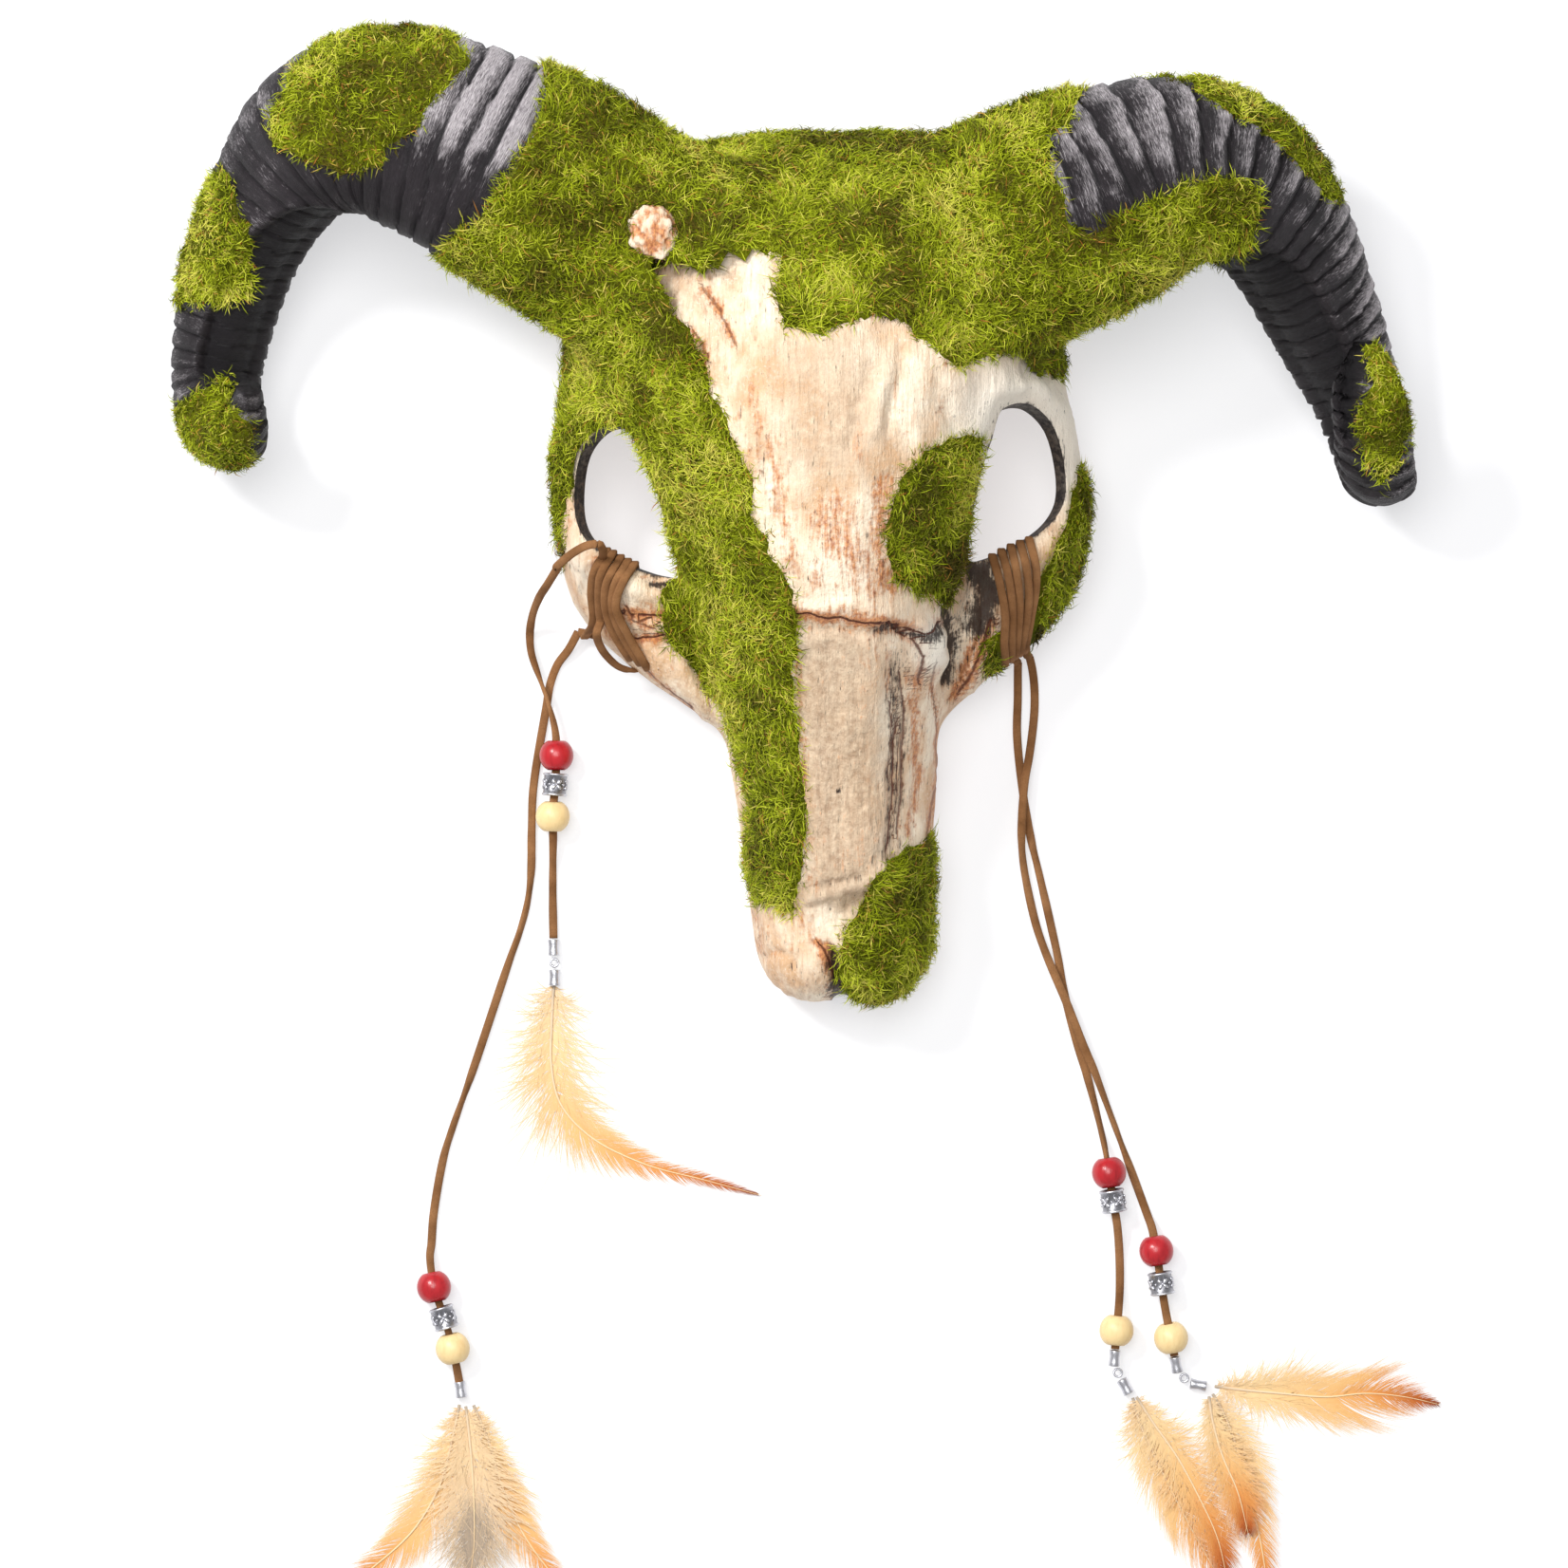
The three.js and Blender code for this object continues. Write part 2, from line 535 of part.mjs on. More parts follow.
// Two stations to each growth ring: its groove and its crest
function ringStations(length) {
  const stations = [{ s: 0, crest: true }];
  let s = 0;
  while (s < length - RING_PITCH_TIP) {
    const pitch = THREE.MathUtils.lerp(RING_PITCH_BASE, RING_PITCH_TIP, s / length);
    stations.push({ s: s + pitch * 0.4, crest: false }, { s: s + pitch * 0.58, crest: true });
    s += pitch;
  }
  stations.push({ s: length, crest: true });
  return stations;
}

function hornSolid(rows, grow) {
  let stations = [];
  const frames = hornFrames(rows, (length) => {
    stations = ringStations(length);
    return stations.map((station) => station.s);
  });
  const rings = frames.map((frame, i) => {
    const factor = stations[i].crest ? 1 : 1 - RING_DEPTH;
    return hornSection(frame, factor, grow, HORN_SIDES);
  });
  return solidOf(outward(skinOfRings(rings)));
}

// The horn without its grooves, through every few crests between two shares of its length
function hornEnvelope(rows, grow, [from, to], every) {
  let stations = [];
  const frames = hornFrames(rows, (length) => {
    stations = ringStations(length);
    return stations.map((station) => station.s);
  });
  const crests = frames.filter((frame, i) => stations[i].crest);
  const chosen = crests.filter((frame, i) => i % every === 0 && frame.share >= from && frame.share <= to);
  if (from === 0) {
    const first = chosen[0];
    first.centre.add(new THREE.Vector3().crossVectors(first.side, first.up).multiplyScalar(grow));
  }
  return solidOf(outward(skinOfRings(chosen.map((frame) => hornSection(frame, 1, grow, HORN_SIDES)))));
}

const hornRows = { left: HORN_LEFT, right: HORN_RIGHT };
const horns = {
  left: hornSolid(HORN_LEFT, 0).subtract(skullCleared),
  right: hornSolid(HORN_RIGHT, 0).subtract(skullCleared),
};

// Moss mats: the skin of skull and horns, raised, within an outline drawn in plan
const BASE_REACH = [0, 0.5];
const raised = skullSolid(MAT_THICKNESS, coarseStations, MAT_SIDES, 0)
  .add(hornEnvelope(HORN_LEFT, HORN_MAT_THICKNESS, BASE_REACH, 2))
  .add(hornEnvelope(HORN_RIGHT, HORN_MAT_THICKNESS, BASE_REACH, 2));
const underMats = skullSolid(MAT_GAP, fineStations, SKULL_SIDES, 0)
  .add(hornEnvelope(HORN_LEFT, HORN_MAT_GAP, BASE_REACH, 1))
  .add(hornEnvelope(HORN_RIGHT, HORN_MAT_GAP, BASE_REACH, 1));

function largest(solid) {
  return solid.decompose().sort((a, b) => b.volume() - a.volume())[0];
}

function skullMat(outline) {
  const mat = raised.subtract(underMats).intersect(prism(outline, MAT_LOWEST, PRISM_TOP));
  return largest(mat.subtract(eyes));
}

function hornMat({ horn, reach, lowest, outline }) {
  const rows = hornRows[horn];
  const thickness = reach[1] === 1 ? MAT_THICKNESS : HORN_MAT_THICKNESS;
  const skin = hornEnvelope(rows, thickness, reach, 1).subtract(hornEnvelope(rows, HORN_MAT_GAP, reach, 1));
  return largest(skin.intersect(prism(outline, lowest, PRISM_TOP)));
}

// Laces
class LaceCurve extends THREE.CatmullRomCurve3 {
  // A tube along it has a ring at each of its points
  getUtoTmapping(share) {
    return share;
  }
}

function laceCurve(points) {
  return new LaceCurve(points.map((p) => new THREE.Vector3(...p)), false, 'centripetal');
}

function laceSection(radius) {
  const shape = new THREE.Shape();
  for (let i = 0; i < LACE_SIDES; i += 1) {
    const angle = (2 * Math.PI * (i + 0.5)) / LACE_SIDES;
    const point = [radius * Math.cos(angle), radius * Math.sin(angle)];
    if (i === 0) shape.moveTo(...point);
    else shape.lineTo(...point);
  }
  return shape;
}

function laceTube(curve, radius) {
  const steps = curve.points.length - 1;
  const geometry = new THREE.ExtrudeGeometry(laceSection(radius), { steps, extrudePath: curve });
  return outward(welded(geometry));
}

function solveDown(reaches, from, to) {
  let low = from;
  let high = to;
  for (let i = 0; i < 30; i += 1) {
    const middle = (low + high) / 2;
    if (reaches(middle)) low = middle;
    else high = middle;
  }
  return low;
}

// The v where the eye hole ends below, and where the skull's outline ends, at a given u
function eyeLowerEdge(u) {
  const lower = EYE_OUTLINE.slice(4, 9).map(([eyeU, eyeV]) => [eyeU, eyeV]).reverse();
  return along(lower, 1, Math.abs(u));
}

function outlineEdge(u, grow) {
  return solveDown((v) => skullStation(v, grow).half > Math.abs(u), -18, -66);
}

// One turn of lace round the cheekbone: from under the rim up over the bone, down through the eye hole
function turnPoints(u, slack) {
  const eyeEdge = eyeLowerEdge(u);
  const outer = outlineEdge(u, 0);
  const { rim } = skullStation(outer, 0);
  const section = [0.93, 0.75, 0.5, 0.25, 0].map((share) => {
    const v = THREE.MathUtils.lerp(eyeEdge, outer, share);
    return new THREE.Vector2(v, Math.max(skullHeight(u - 2, v, 0), skullHeight(u + 2, v, 0)));
  });
  section.unshift(new THREE.Vector2(outer - slack, rim - 0.5));
  section.push(new THREE.Vector2(eyeEdge, skullHeight(u, eyeEdge, -WALL) - INNER_SLACK));
  section.push(new THREE.Vector2(outlineEdge(u, -WALL) + INNER_SLACK, rim - 0.5));
  return section.map((point, i) => {
    const before = section[(i + section.length - 1) % section.length];
    const after = section[(i + 1) % section.length];
    const into = point.clone().sub(before).normalize();
    const way = into.clone().add(after.clone().sub(point).normalize()).normalize();
    const reach = TURN_CLEARANCE / Math.max(0.55, way.dot(into));
    return [u, point.x - way.y * reach, point.y + way.x * reach];
  });
}

// The wound lace, from one free end's start to the other's
function woundLace({ side, firstU, skipped, lead, tail, slackTurn }) {
  const points = [...lead];
  for (let turn = 0; turn < TURN_COUNT; turn += 1) {
    const loop = turnPoints(firstU - turn * TURN_PITCH, turn === slackTurn ? 2 : 0);
    loop.forEach(([u, v, z], i) => {
      if (turn === 0 && i < skipped) return;
      const shifted = u - (TURN_PITCH * i) / loop.length;
      points.push([...turned([side * shifted, v]), z]);
    });
  }
  points.push(...tail);
  return laceCurve(points);
}

const WOUND = {
  lace_wound_left: {
    side: -1,
    firstU: 64.5,
    skipped: 5,
    slackTurn: 3,
    lead: [[-75.4, -16.6, 38], [-71.4, -14.2, 45]],
    tail: [[-55.5, -44.5, 4.4], [-61, -41.6, 3.2], [-65.8, -38.2, 3.8], [-68.9, -37.4, 4.6]],
  },
  lace_wound_right: {
    side: 1,
    firstU: 59.5,
    skipped: 0,
    slackTurn: 3,
    lead: [[61.4, -43.9, 4.4]],
    tail: [[51.5, -44.8, 4], [57.3, -45.4, 3.6]],
  },
};

// Beads and silver pieces
function spun(profile, segments) {
  return welded(new THREE.LatheGeometry(profile.map(([r, y]) => new THREE.Vector2(r, y)), segments));
}

function beadGeometry() {
  const { radius, halfLength, bore, flat, belt } = BEAD;
  return spun([
    [bore, -halfLength], [flat, -halfLength], [radius, -belt], [radius, belt],
    [flat, halfLength], [bore, halfLength], [bore, -halfLength],
  ], BEAD_SIDES);
}

function barrelGeometry() {
  const { radius, halfLength, bore } = BARREL;
  return spun([
    [bore, -halfLength], [radius, -halfLength], [radius, halfLength], [bore, halfLength],
    [bore, -halfLength],
  ], BEAD_SIDES);
}

function nearestOnCurve(curve, [x, y]) {
  const samples = 600;
  let best = 0;
  let least = Infinity;
  for (let i = 0; i <= samples; i += 1) {
    const p = curve.getPointAt(i / samples);
    const distance = Math.hypot(p.x - x, p.y - y);
    if (distance < least) {
      least = distance;
      best = i / samples;
    }
  }
  return best;
}

const group = new THREE.Group();

function addMesh(name, geometry, finish) {
  const mesh = new THREE.Mesh(geometry, new THREE.MeshStandardMaterial(finish));
  mesh.name = name;
  group.add(mesh);
  return mesh;
}

function addAlong(name, geometry, finish, place, direction) {
  const mesh = addMesh(name, outward(welded(geometry)), finish);
  mesh.position.copy(place);
  mesh.quaternion.setFromUnitVectors(new THREE.Vector3(0, 1, 0), direction.clone().normalize());
  return mesh;
}

// Skull, horns and moss
addMesh('skull_face', geometryOf(skullShell), FINISH.bone);
addMesh('horn_left', geometryOf(largest(horns.left)), FINISH.horn);
addMesh('horn_right', geometryOf(largest(horns.right)), FINISH.horn);
addMesh('moss_mat_head', geometryOf(skullMat(MOSS_HEAD)), FINISH.moss);
for (const [name, outline] of Object.entries(MOSS_PATCHES)) {
  addMesh(name, geometryOf(skullMat(outline)), FINISH.moss);
}
for (const [name, mat] of Object.entries(HORN_MATS)) {
  addMesh(name, geometryOf(hornMat(mat)), FINISH.moss);
}

// Laces, wound and free
const LACE_RADIUS = LACE_WIDTH / 2;
for (const [name, winding] of Object.entries(WOUND)) {
  addMesh(name, laceTube(woundLace(winding), WOUND_RADIUS), FINISH.suede);
}
const laces = {};
for (const [name, points] of Object.entries(ROUTES)) {
  laces[name] = laceCurve(points);
  addMesh(name, laceTube(laces[name], LACE_RADIUS), FINISH.suede);
}

// Beads on the laces
for (const [end, string] of Object.entries(STRINGS)) {
  const curve = laces[string.lace];
  for (const kind of ['red', 'barrel', 'cream']) {
    const share = nearestOnCurve(curve, string[kind]);
    const geometry = kind === 'barrel' ? barrelGeometry() : beadGeometry();
    const finish = kind === 'barrel' ? FINISH.silver : FINISH[kind];
    const piece = kind === 'barrel' ? 'silver_barrel' : `${kind}_bead`;
    addAlong(`${piece}_${end}`, geometry, finish, curve.getPointAt(share), curve.getTangentAt(share));
  }
}

// Crimps and rings after the lace's end, and the crimp that holds the feathers
function crimpGeometry() {
  return new THREE.CylinderGeometry(CRIMP.radius, CRIMP.radius, CRIMP.length, 8);
}

for (const [end, { at, towards }] of Object.entries(FEATHER_CRIMPS)) {
  const way = new THREE.Vector3(towards[0] - at[0], towards[1] - at[1], 0).normalize();
  const start = new THREE.Vector3(at[0], at[1], CRIMP.radius + 0.15);
  addAlong(`feather_crimp_${end}`, crimpGeometry(), FINISH.silver, start.clone().addScaledVector(way, CRIMP.length / 2), way);
  if (end === 'left_long') continue;
  const curve = laces[STRINGS[end].lace];
  const lastWay = curve.getTangentAt(1);
  const crimpPlace = curve.getPointAt(1).addScaledVector(lastWay, CRIMP.length / 2 + TOUCH_GAP);
  addAlong(`lace_crimp_${end}`, crimpGeometry(), FINISH.silver, crimpPlace, lastWay);
  const crimpEnd = crimpPlace.clone().addScaledVector(lastWay, CRIMP.length / 2);
  const ring = addMesh(`ring_${end}`, welded(new THREE.TorusGeometry(RING.radius, RING.wire, 4, 7)), FINISH.silver);
  ring.position.copy(start.add(crimpEnd).multiplyScalar(0.5));
}

// Feathers: flat leaf forms, thickest along the quill
function featherGeometry(line, layer) {
  const low = 0.25 + layer * FEATHER_LAYER;
  const rings = line.map(([x, y, half], i) => {
    const [px, py] = line[Math.max(0, i - 1)];
    const [nx, ny] = line[Math.min(line.length - 1, i + 1)];
    const way = new THREE.Vector2(nx - px, ny - py).normalize();
    const corners = [[-half, 0.5], [0, 0], [half, 0.5], [0, 1]];
    return corners.map(([out, up]) => new THREE.Vector3(
      x + way.y * out,
      y - way.x * out,
      low + up * FEATHER_THICKNESS,
    ));
  });
  return outward(skinOfRings(rings));
}

for (const [name, { layer, line }] of Object.entries(FEATHERS)) {
  addMesh(name, featherGeometry(line, layer), FINISH.feather);
}

// The origin: the middle of the mask without its free laces, on the surface that it lies on
const FREE = /^(lace_(left|right)|red_bead|cream_bead|silver_barrel|lace_crimp|feather|ring)_/;
const mask = new THREE.Box3();
for (const mesh of group.children) {
  if (!FREE.test(mesh.name)) mask.expandByObject(mesh, true);
}
const middle = mask.getCenter(new THREE.Vector3());
group.position.set(-middle.x, -middle.y, -mask.min.z);

export default group;
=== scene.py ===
import itertools
import logging
import math
from dataclasses import dataclass, field
from enum import Enum
from typing import Callable, Sequence

import bmesh
import bpy
import numpy as np
from mathutils import Matrix, Vector


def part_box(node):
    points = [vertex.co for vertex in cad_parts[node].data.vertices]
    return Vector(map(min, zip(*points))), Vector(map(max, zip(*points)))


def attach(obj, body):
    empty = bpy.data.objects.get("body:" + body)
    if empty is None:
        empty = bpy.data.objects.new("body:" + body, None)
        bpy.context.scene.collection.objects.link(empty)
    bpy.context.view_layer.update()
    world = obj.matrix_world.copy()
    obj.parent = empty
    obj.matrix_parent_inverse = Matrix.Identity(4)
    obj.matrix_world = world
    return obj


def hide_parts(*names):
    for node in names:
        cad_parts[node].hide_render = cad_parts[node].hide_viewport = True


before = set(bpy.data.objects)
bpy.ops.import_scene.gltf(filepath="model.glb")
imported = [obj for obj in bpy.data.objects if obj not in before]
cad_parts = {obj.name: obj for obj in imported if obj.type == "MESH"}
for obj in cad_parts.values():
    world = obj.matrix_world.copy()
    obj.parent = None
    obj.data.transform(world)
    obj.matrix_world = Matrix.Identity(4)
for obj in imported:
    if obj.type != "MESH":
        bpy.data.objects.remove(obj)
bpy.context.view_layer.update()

log = logging.getLogger("ram_skull_mask")
MM = 0.001
SEED = 20
Array = np.ndarray

SKULL_TURN = math.radians(3.07)
WALL = 3.0
HOLLOW_TUCK = 5.0
# [v, half width, ridge height, cheek height, rim height, nose half width]
SKULL = [
    [-145.5, 8, 20, 13, 0, 8], [-143, 16, 28, 20, 0, 16], [-139, 21.5, 34, 26, 0, 21.5],
    [-132, 25, 39, 30, 0, 25], [-118, 26.6, 43, 34, 0, 26.6], [-110, 27.3, 49.5, 37, 0, 27.3],
    [-95, 28.3, 54, 40, 0, 28.3], [-78, 30, 60, 42, 0, 30], [-66, 32.5, 65, 40, 3, 31.5],
    [-56, 43.5, 69, 36, 8, 33], [-46, 57, 73, 37, 10, 36], [-32, 69.8, 79, 40, 10, 39.5],
    [-18, 75.4, 84, 45, 10, 44], [0, 76, 87, 52, 10, 52], [20, 74.4, 88, 60, 10, 62],
    [40, 72.2, 86, 64, 8, 72.2], [60, 69, 80, 62, 3, 69], [80, 65, 71, 55, 0, 65],
    [91, 59, 61, 47, 0, 59], [98, 53, 50, 38, 0, 53], [102.3, 46, 38, 28, 0, 46],
    [104, 38, 24, 18, 0, 38],
]
NOSE_POWER = 2.5
CHEEK_POWER = 4.5
BLEND = 4.0
CREVICE_DEPTH = 7.0
CREVICE_WIDTH = 2.6
CREVICE_FROM = -66.0
CREVICE_TO = -20.0
EYE_CENTRE = (57.2, 0.8)
EYE_LONG = 24.0
EYE_SHORT = 12.2
EYE_TURN = math.radians(61)
EYE_OUTLINE = [
    (53, 21.5), (60.5, 23), (67.4, 17.5), (70.6, 6), (70.2, -4), (66.6, -10),
    (59.8, -15), (48, -20), (41.5, -20.4), (43, -8), (46.2, 4.5), (49.4, 13),
]
LIP_NOTCH = (-1.5, -147.0, 3.2)
ROOT_KNOB = (-47.4, 73.0)
# Share of the wall that a horn's root reaches up into, above the hollow
ROOF_SHARE = 0.75

# Horn centre lines: [x, y, z, half width across, half height]
HORN_LEFT = [
    [-56.7, 73.6, 52, 31, 26], [-74.2, 84.7, 54, 32, 26], [-91.2, 93.5, 55, 31, 26],
    [-109.4, 101.7, 54, 29, 25], [-127.1, 105.9, 50, 26.5, 24], [-143.9, 101.4, 43, 22.8, 21],
    [-156.8, 87.3, 34, 18.5, 18], [-166.3, 70.3, 25, 16, 16], [-171.7, 52.9, 19, 14.6, 14.5],
    [-174.6, 36.5, 16.5, 13.2, 13], [-173.7, 24.5, 21, 11.6, 11.5], [-169.1, 18.2, 32, 9.8, 9.5],
    [-165.4, 21.5, 43.5, 7.8, 7], [-163, 31, 51, 4, 3.5],
]
HORN_RIGHT = [
    [39.3, 68.2, 50, 31, 26], [59.5, 77.4, 54, 32, 26], [75.9, 83.3, 55, 31.3, 26],
    [93.8, 90.7, 53, 28, 25], [110.4, 92.3, 48, 24.5, 23], [123.3, 85.8, 42, 22.3, 21],
    [133.1, 75, 34, 20.2, 19], [141.7, 59.2, 26, 17.8, 17], [148.7, 44.5, 20, 15.7, 15.5],
    [155.3, 29.6, 16, 13.2, 13], [159.6, 14.3, 17.5, 11.6, 10.5], [160.3, 6.5, 29, 11.6, 8],
    [158, 16, 42, 11.8, 6.5], [155.8, 30.3, 50.5, 10.8, 5], [154.6, 43.5, 55.5, 3.2, 2.4],
]
RIB_PITCH = (7.2, 5.0)
RIB_DEPTH = (1.9, 1.1)

MOSS_HEAD = [
    (-79, 128), (0, 118), (78, 124), (69.5, 104.2), (62, 99.4), (69.5, 75.9),
    (76, 72.4), (93, 81.6), (111, 89.1), (124.8, 88), (122.5, 70), (107, 67.5),
    (93, 54), (80, 46), (69.5, 36), (62, 36), (56.6, 41.9), (38, 35.8),
    (26.8, 43.2), (23.1, 49.6), (13.5, 50.4), (0.4, 44.3), (-9.9, 46.2), (-12.9, 51),
    (-11, 65.9), (-15.5, 69.6), (-27.8, 68.3), (-32.3, 62.1), (-40.8, 65.9),
    (-47.5, 64.2), (-49.1, 60.1), (-34.2, 36.8), (-19.5, 3), (-19, -7.7),
    (-7.5, -29.8), (-7.5, -62.8), (-4.3, -97.4), (-8.3, -119), (-18, -116.3), (-22.1, -107.1),
    (-20.2, -87.9), (-26.7, -62.2), (-35.6, -49.6), (-44, -42), (-46.4, -30.4), (-41.3, -21.5),
    (-55, 0), (-69, 5), (-74.5, -5), (-75, -19), (-86, -19), (-88, 5), (-84, 40), (-98, 48),
    (-110.5, 66.5), (-95.9, 77.4), (-82.2, 97.3), (-77.7, 112.3),
]
MOSS_BESIDE_EYE = [
    (45.4, 15.6), (37.1, 15.6), (29.1, 10.8), (22.1, 2.5), (17.8, -10.5), (20.8, -24),
    (26.4, -28), (35.8, -30.9), (40.1, -21.3),
]
MOSS_RIGHT_CHEEK = [
    (74.3, 9.5), (84, 5), (86, -10), (82, -26), (72, -42), (60, -52), (48, -50),
    (47, -42), (55, -35), (62, -26), (67, -15), (72, -3),
]
MOSS_MUZZLE = [
    (37, -94.5), (20, -104), (14.3, -112.4), (6.9, -125.8), (5.6, -136.9), (9.6, -150),
    (36, -150), (39, -120),
]
MOSS_LEFT_BOW = [
    (-149, 121), (-137, 140), (-110, 140), (-103, 128.5), (-99.1, 122.1), (-109.8, 110.8),
    (-113.6, 102.3), (-121.9, 97.7), (-124.8, 92.1), (-135.3, 90.5), (-155.3, 99.6),
    (-156.5, 107),
]
MOSS_LEFT_SIDE = [
    (-169.9, 92.7), (-182, 92), (-192, 56), (-177.5, 56.5), (-166.9, 56.5), (-163.1, 61.6),
    (-163.1, 68.2), (-166.9, 85.6),
]
MOSS_LEFT_TIP = [
    (-170.5, 36), (-174.5, 33.1), (-184.1, 28), (-192, 28), (-188, 4), (-171, 4),
    (-163.1, 11.2), (-162.5, 20), (-168, 25),
]
MOSS_RIGHT_TOP = [
    (90, 119.5), (104.9, 116.6), (110.5, 111.2), (127.6, 101.5), (141.6, 89.6), (145.6, 84),
    (156, 88), (140, 115), (112, 127), (90, 127),
]
MOSS_RIGHT_TIP = [
    (151.4, 54), (154.4, 47.5), (156.6, 40), (156.2, 32), (153.2, 23), (154.4, 13), (160.5, 3.8),
    (165, 8), (170, 20), (171, 28), (169.5, 39.5), (163, 52), (155, 61),
]
FLOOR_Z = 1.4
LACE_WIDTH = 2.4
LACE_THICK = 1.2
# Bare space that the moss leaves round the knob and beside the wound laces
KNOB_CLEAR = 6.9
LACE_CLEAR = 2.2
# Depth under the skull's skin where no moss grows, and the depth given to such places
MOSS_BURIED = 2.5
NO_MOSS = -9.0
BEAD_Z = 5.2


def table_value(table: Array, column: int, at: Array) -> Array:
    """Reads a smooth curve through a table's rows.

    Args:
        table: rows with a rising first column.
        column: the column to read.
        at: positions along the first column.

    Returns:
        The values at those positions, held beyond both ends.
    """
    rows = np.asarray(table, float)
    x, y = rows[:, 0], rows[:, column]
    last = len(x) - 1
    low = np.maximum(np.arange(last + 1) - 1, 0)
    high = np.minimum(np.arange(last + 1) + 1, last)
    slope = (y[high] - y[low]) / (x[high] - x[low])
    i = np.clip(np.searchsorted(x, at, side="right") - 1, 0, last - 1)
    span = x[i + 1] - x[i]
    t = np.clip((at - x[i]) / span, 0, 1)
    t2, t3 = t * t, t * t * t
    return (
        (2 * t3 - 3 * t2 + 1) * y[i] + (t3 - 2 * t2 + t) * span * slope[i]
        + (3 * t2 - 2 * t3) * y[i + 1] + (t3 - t2) * span * slope[i + 1]
    )


def smooth_step(value: Array, low: float, high: float) -> Array:
    """0 below low, 1 above high, and a smooth rise between.

    Args:
        value: the numbers to grade.
        low: where the rise starts.
        high: where it ends.

    Returns:
        Shares from 0 to 1.
    """
    t = np.clip((np.asarray(value, float) - low) / (high - low), 0, 1)
    return t * t * (3 - 2 * t)


def bell(distance: Array, width: float) -> Array:
    """A smooth bump that is 1 at distance 0."""
    return np.exp(-((np.asarray(distance, float) / width) ** 2))


def dome(t: Array, power: float) -> Array:
    """Height of a rounded section at the share t of its half width."""
    return np.sqrt(1 - np.minimum(np.abs(t), 1) ** power)


def lattice_noise(points: Array, seed: int) -> Array:
    """Smooth noise from -1 to 1.

    Args:
        points: rows of x, y, z, one lattice cell to the unit.
        seed: picks the pattern.

    Returns:
        One value to each row.
    """
    cell = np.floor(points).astype(np.int64)
    part = points - cell
    part = part * part * (3 - 2 * part)
    total = np.zeros(len(points))
    for corner in itertools.product((0, 1), repeat=3):
        c = cell + np.array(corner)
        mixed = (c[:, 0] * 73856093) ^ (c[:, 1] * 19349663) ^ (c[:, 2] * 83492791) ^ (seed * 97531)
        mixed = (mixed ^ (mixed >> 13)) * 1274126177
        value = ((mixed ^ (mixed >> 16)) & 0xFFFF) / 32767.5 - 1
        total += value * np.prod(np.where(np.array(corner) == 1, part, 1 - part), axis=1)
    return total


def layered_noise(points: Array, seed: int, layers: int = 3) -> Array:
    """Noise with finer, weaker layers added to it."""
    return sum(lattice_noise(points * 2.0**k, seed + 31 * k) / 2.0**k for k in range(layers))


def path_distance(u: Array, v: Array, path: Sequence[tuple[float, float]],
                  closed: bool = False) -> Array:
    """Plan distance from points to a run of straight lines.

    Args:
        u: first coordinates.
        v: second coordinates.
        path: the corners of the run.
        closed: joins the last corner to the first.

    Returns:
        The least distance of each point.
    """
    corners = np.asarray(path, float)
    ends = np.roll(corners, -1, axis=0) if closed else corners[1:]
    best = np.full(np.shape(u), np.inf)
    for (ax, ay), (bx, by) in zip(corners, ends):
        dx, dy = bx - ax, by - ay
        t = np.clip(((u - ax) * dx + (v - ay) * dy) / max(dx * dx + dy * dy, 1e-9), 0, 1)
        best = np.minimum(best, np.hypot(u - ax - t * dx, v - ay - t * dy))
    return best


def is_inside(x: Array, y: Array, outline: Sequence[tuple[float, float]]) -> Array:
    """Whether each point lies within a closed outline.

    Args:
        x: first coordinates.
        y: second coordinates.
        outline: its corners.

    Returns:
        True for each point within.
    """
    inside = np.zeros(np.shape(x), bool)
    corners = list(outline)
    for (ax, ay), (bx, by) in zip(corners, corners[1:] + corners[:1]):
        if ay != by:
            crosses = ((ay > y) != (by > y)) & (x < (bx - ax) * (y - ay) / (by - ay) + ax)
            inside ^= crosses
    return inside


def depth_inside(x: Array, y: Array, outline: Sequence[tuple[float, float]]) -> Array:
    """Distance to the outline, positive within it and negative outside."""
    distance = path_distance(x, y, outline, closed=True)
    return np.where(is_inside(x, y, outline), distance, -distance)


def smooth_path(points: Array, per_side: int, closed: bool = False) -> Array:
    """A smooth run through points, evenly spaced between each two (centripetal).

    Args:
        points: the points to pass.
        per_side: steps between each two.
        closed: joins the last point to the first.

    Returns:
        The points of the run.
    """
    p = np.asarray(points, float)
    n = len(p)
    sides = n if closed else n - 1
    out = []
    for i in range(sides):
        if closed:
            p0, p1, p2, p3 = (p[(i + k) % n] for k in (-1, 0, 1, 2))
        else:
            p1, p2 = p[i], p[i + 1]
            p0 = p[i - 1] if i > 0 else 2 * p1 - p2
            p3 = p[i + 2] if i + 2 < n else 2 * p2 - p1
        d0, d1, d2 = (max(np.linalg.norm(b - a), 1e-6) ** 0.5 for a,
                      b in ((p0, p1), (p1, p2), (p2, p3)))
        m1 = ((p1 - p0) / d0 - (p2 - p0) / (d0 + d1) + (p2 - p1) / d1) * d1
        m2 = ((p2 - p1) / d1 - (p3 - p1) / (d1 + d2) + (p3 - p2) / d2) * d1
        t = np.arange(per_side)[:, None] / per_side
        t2, t3 = t * t, t * t * t
        out.append((2 * t3 - 3 * t2 + 1) * p1 + (t3 - 2 * t2 + t) * m1 + (3 * t2 - 2 * t3) * p2
                   + (t3 - t2) * m2)
    if not closed:
        out.append(p[-1:])
    return np.concatenate(out)


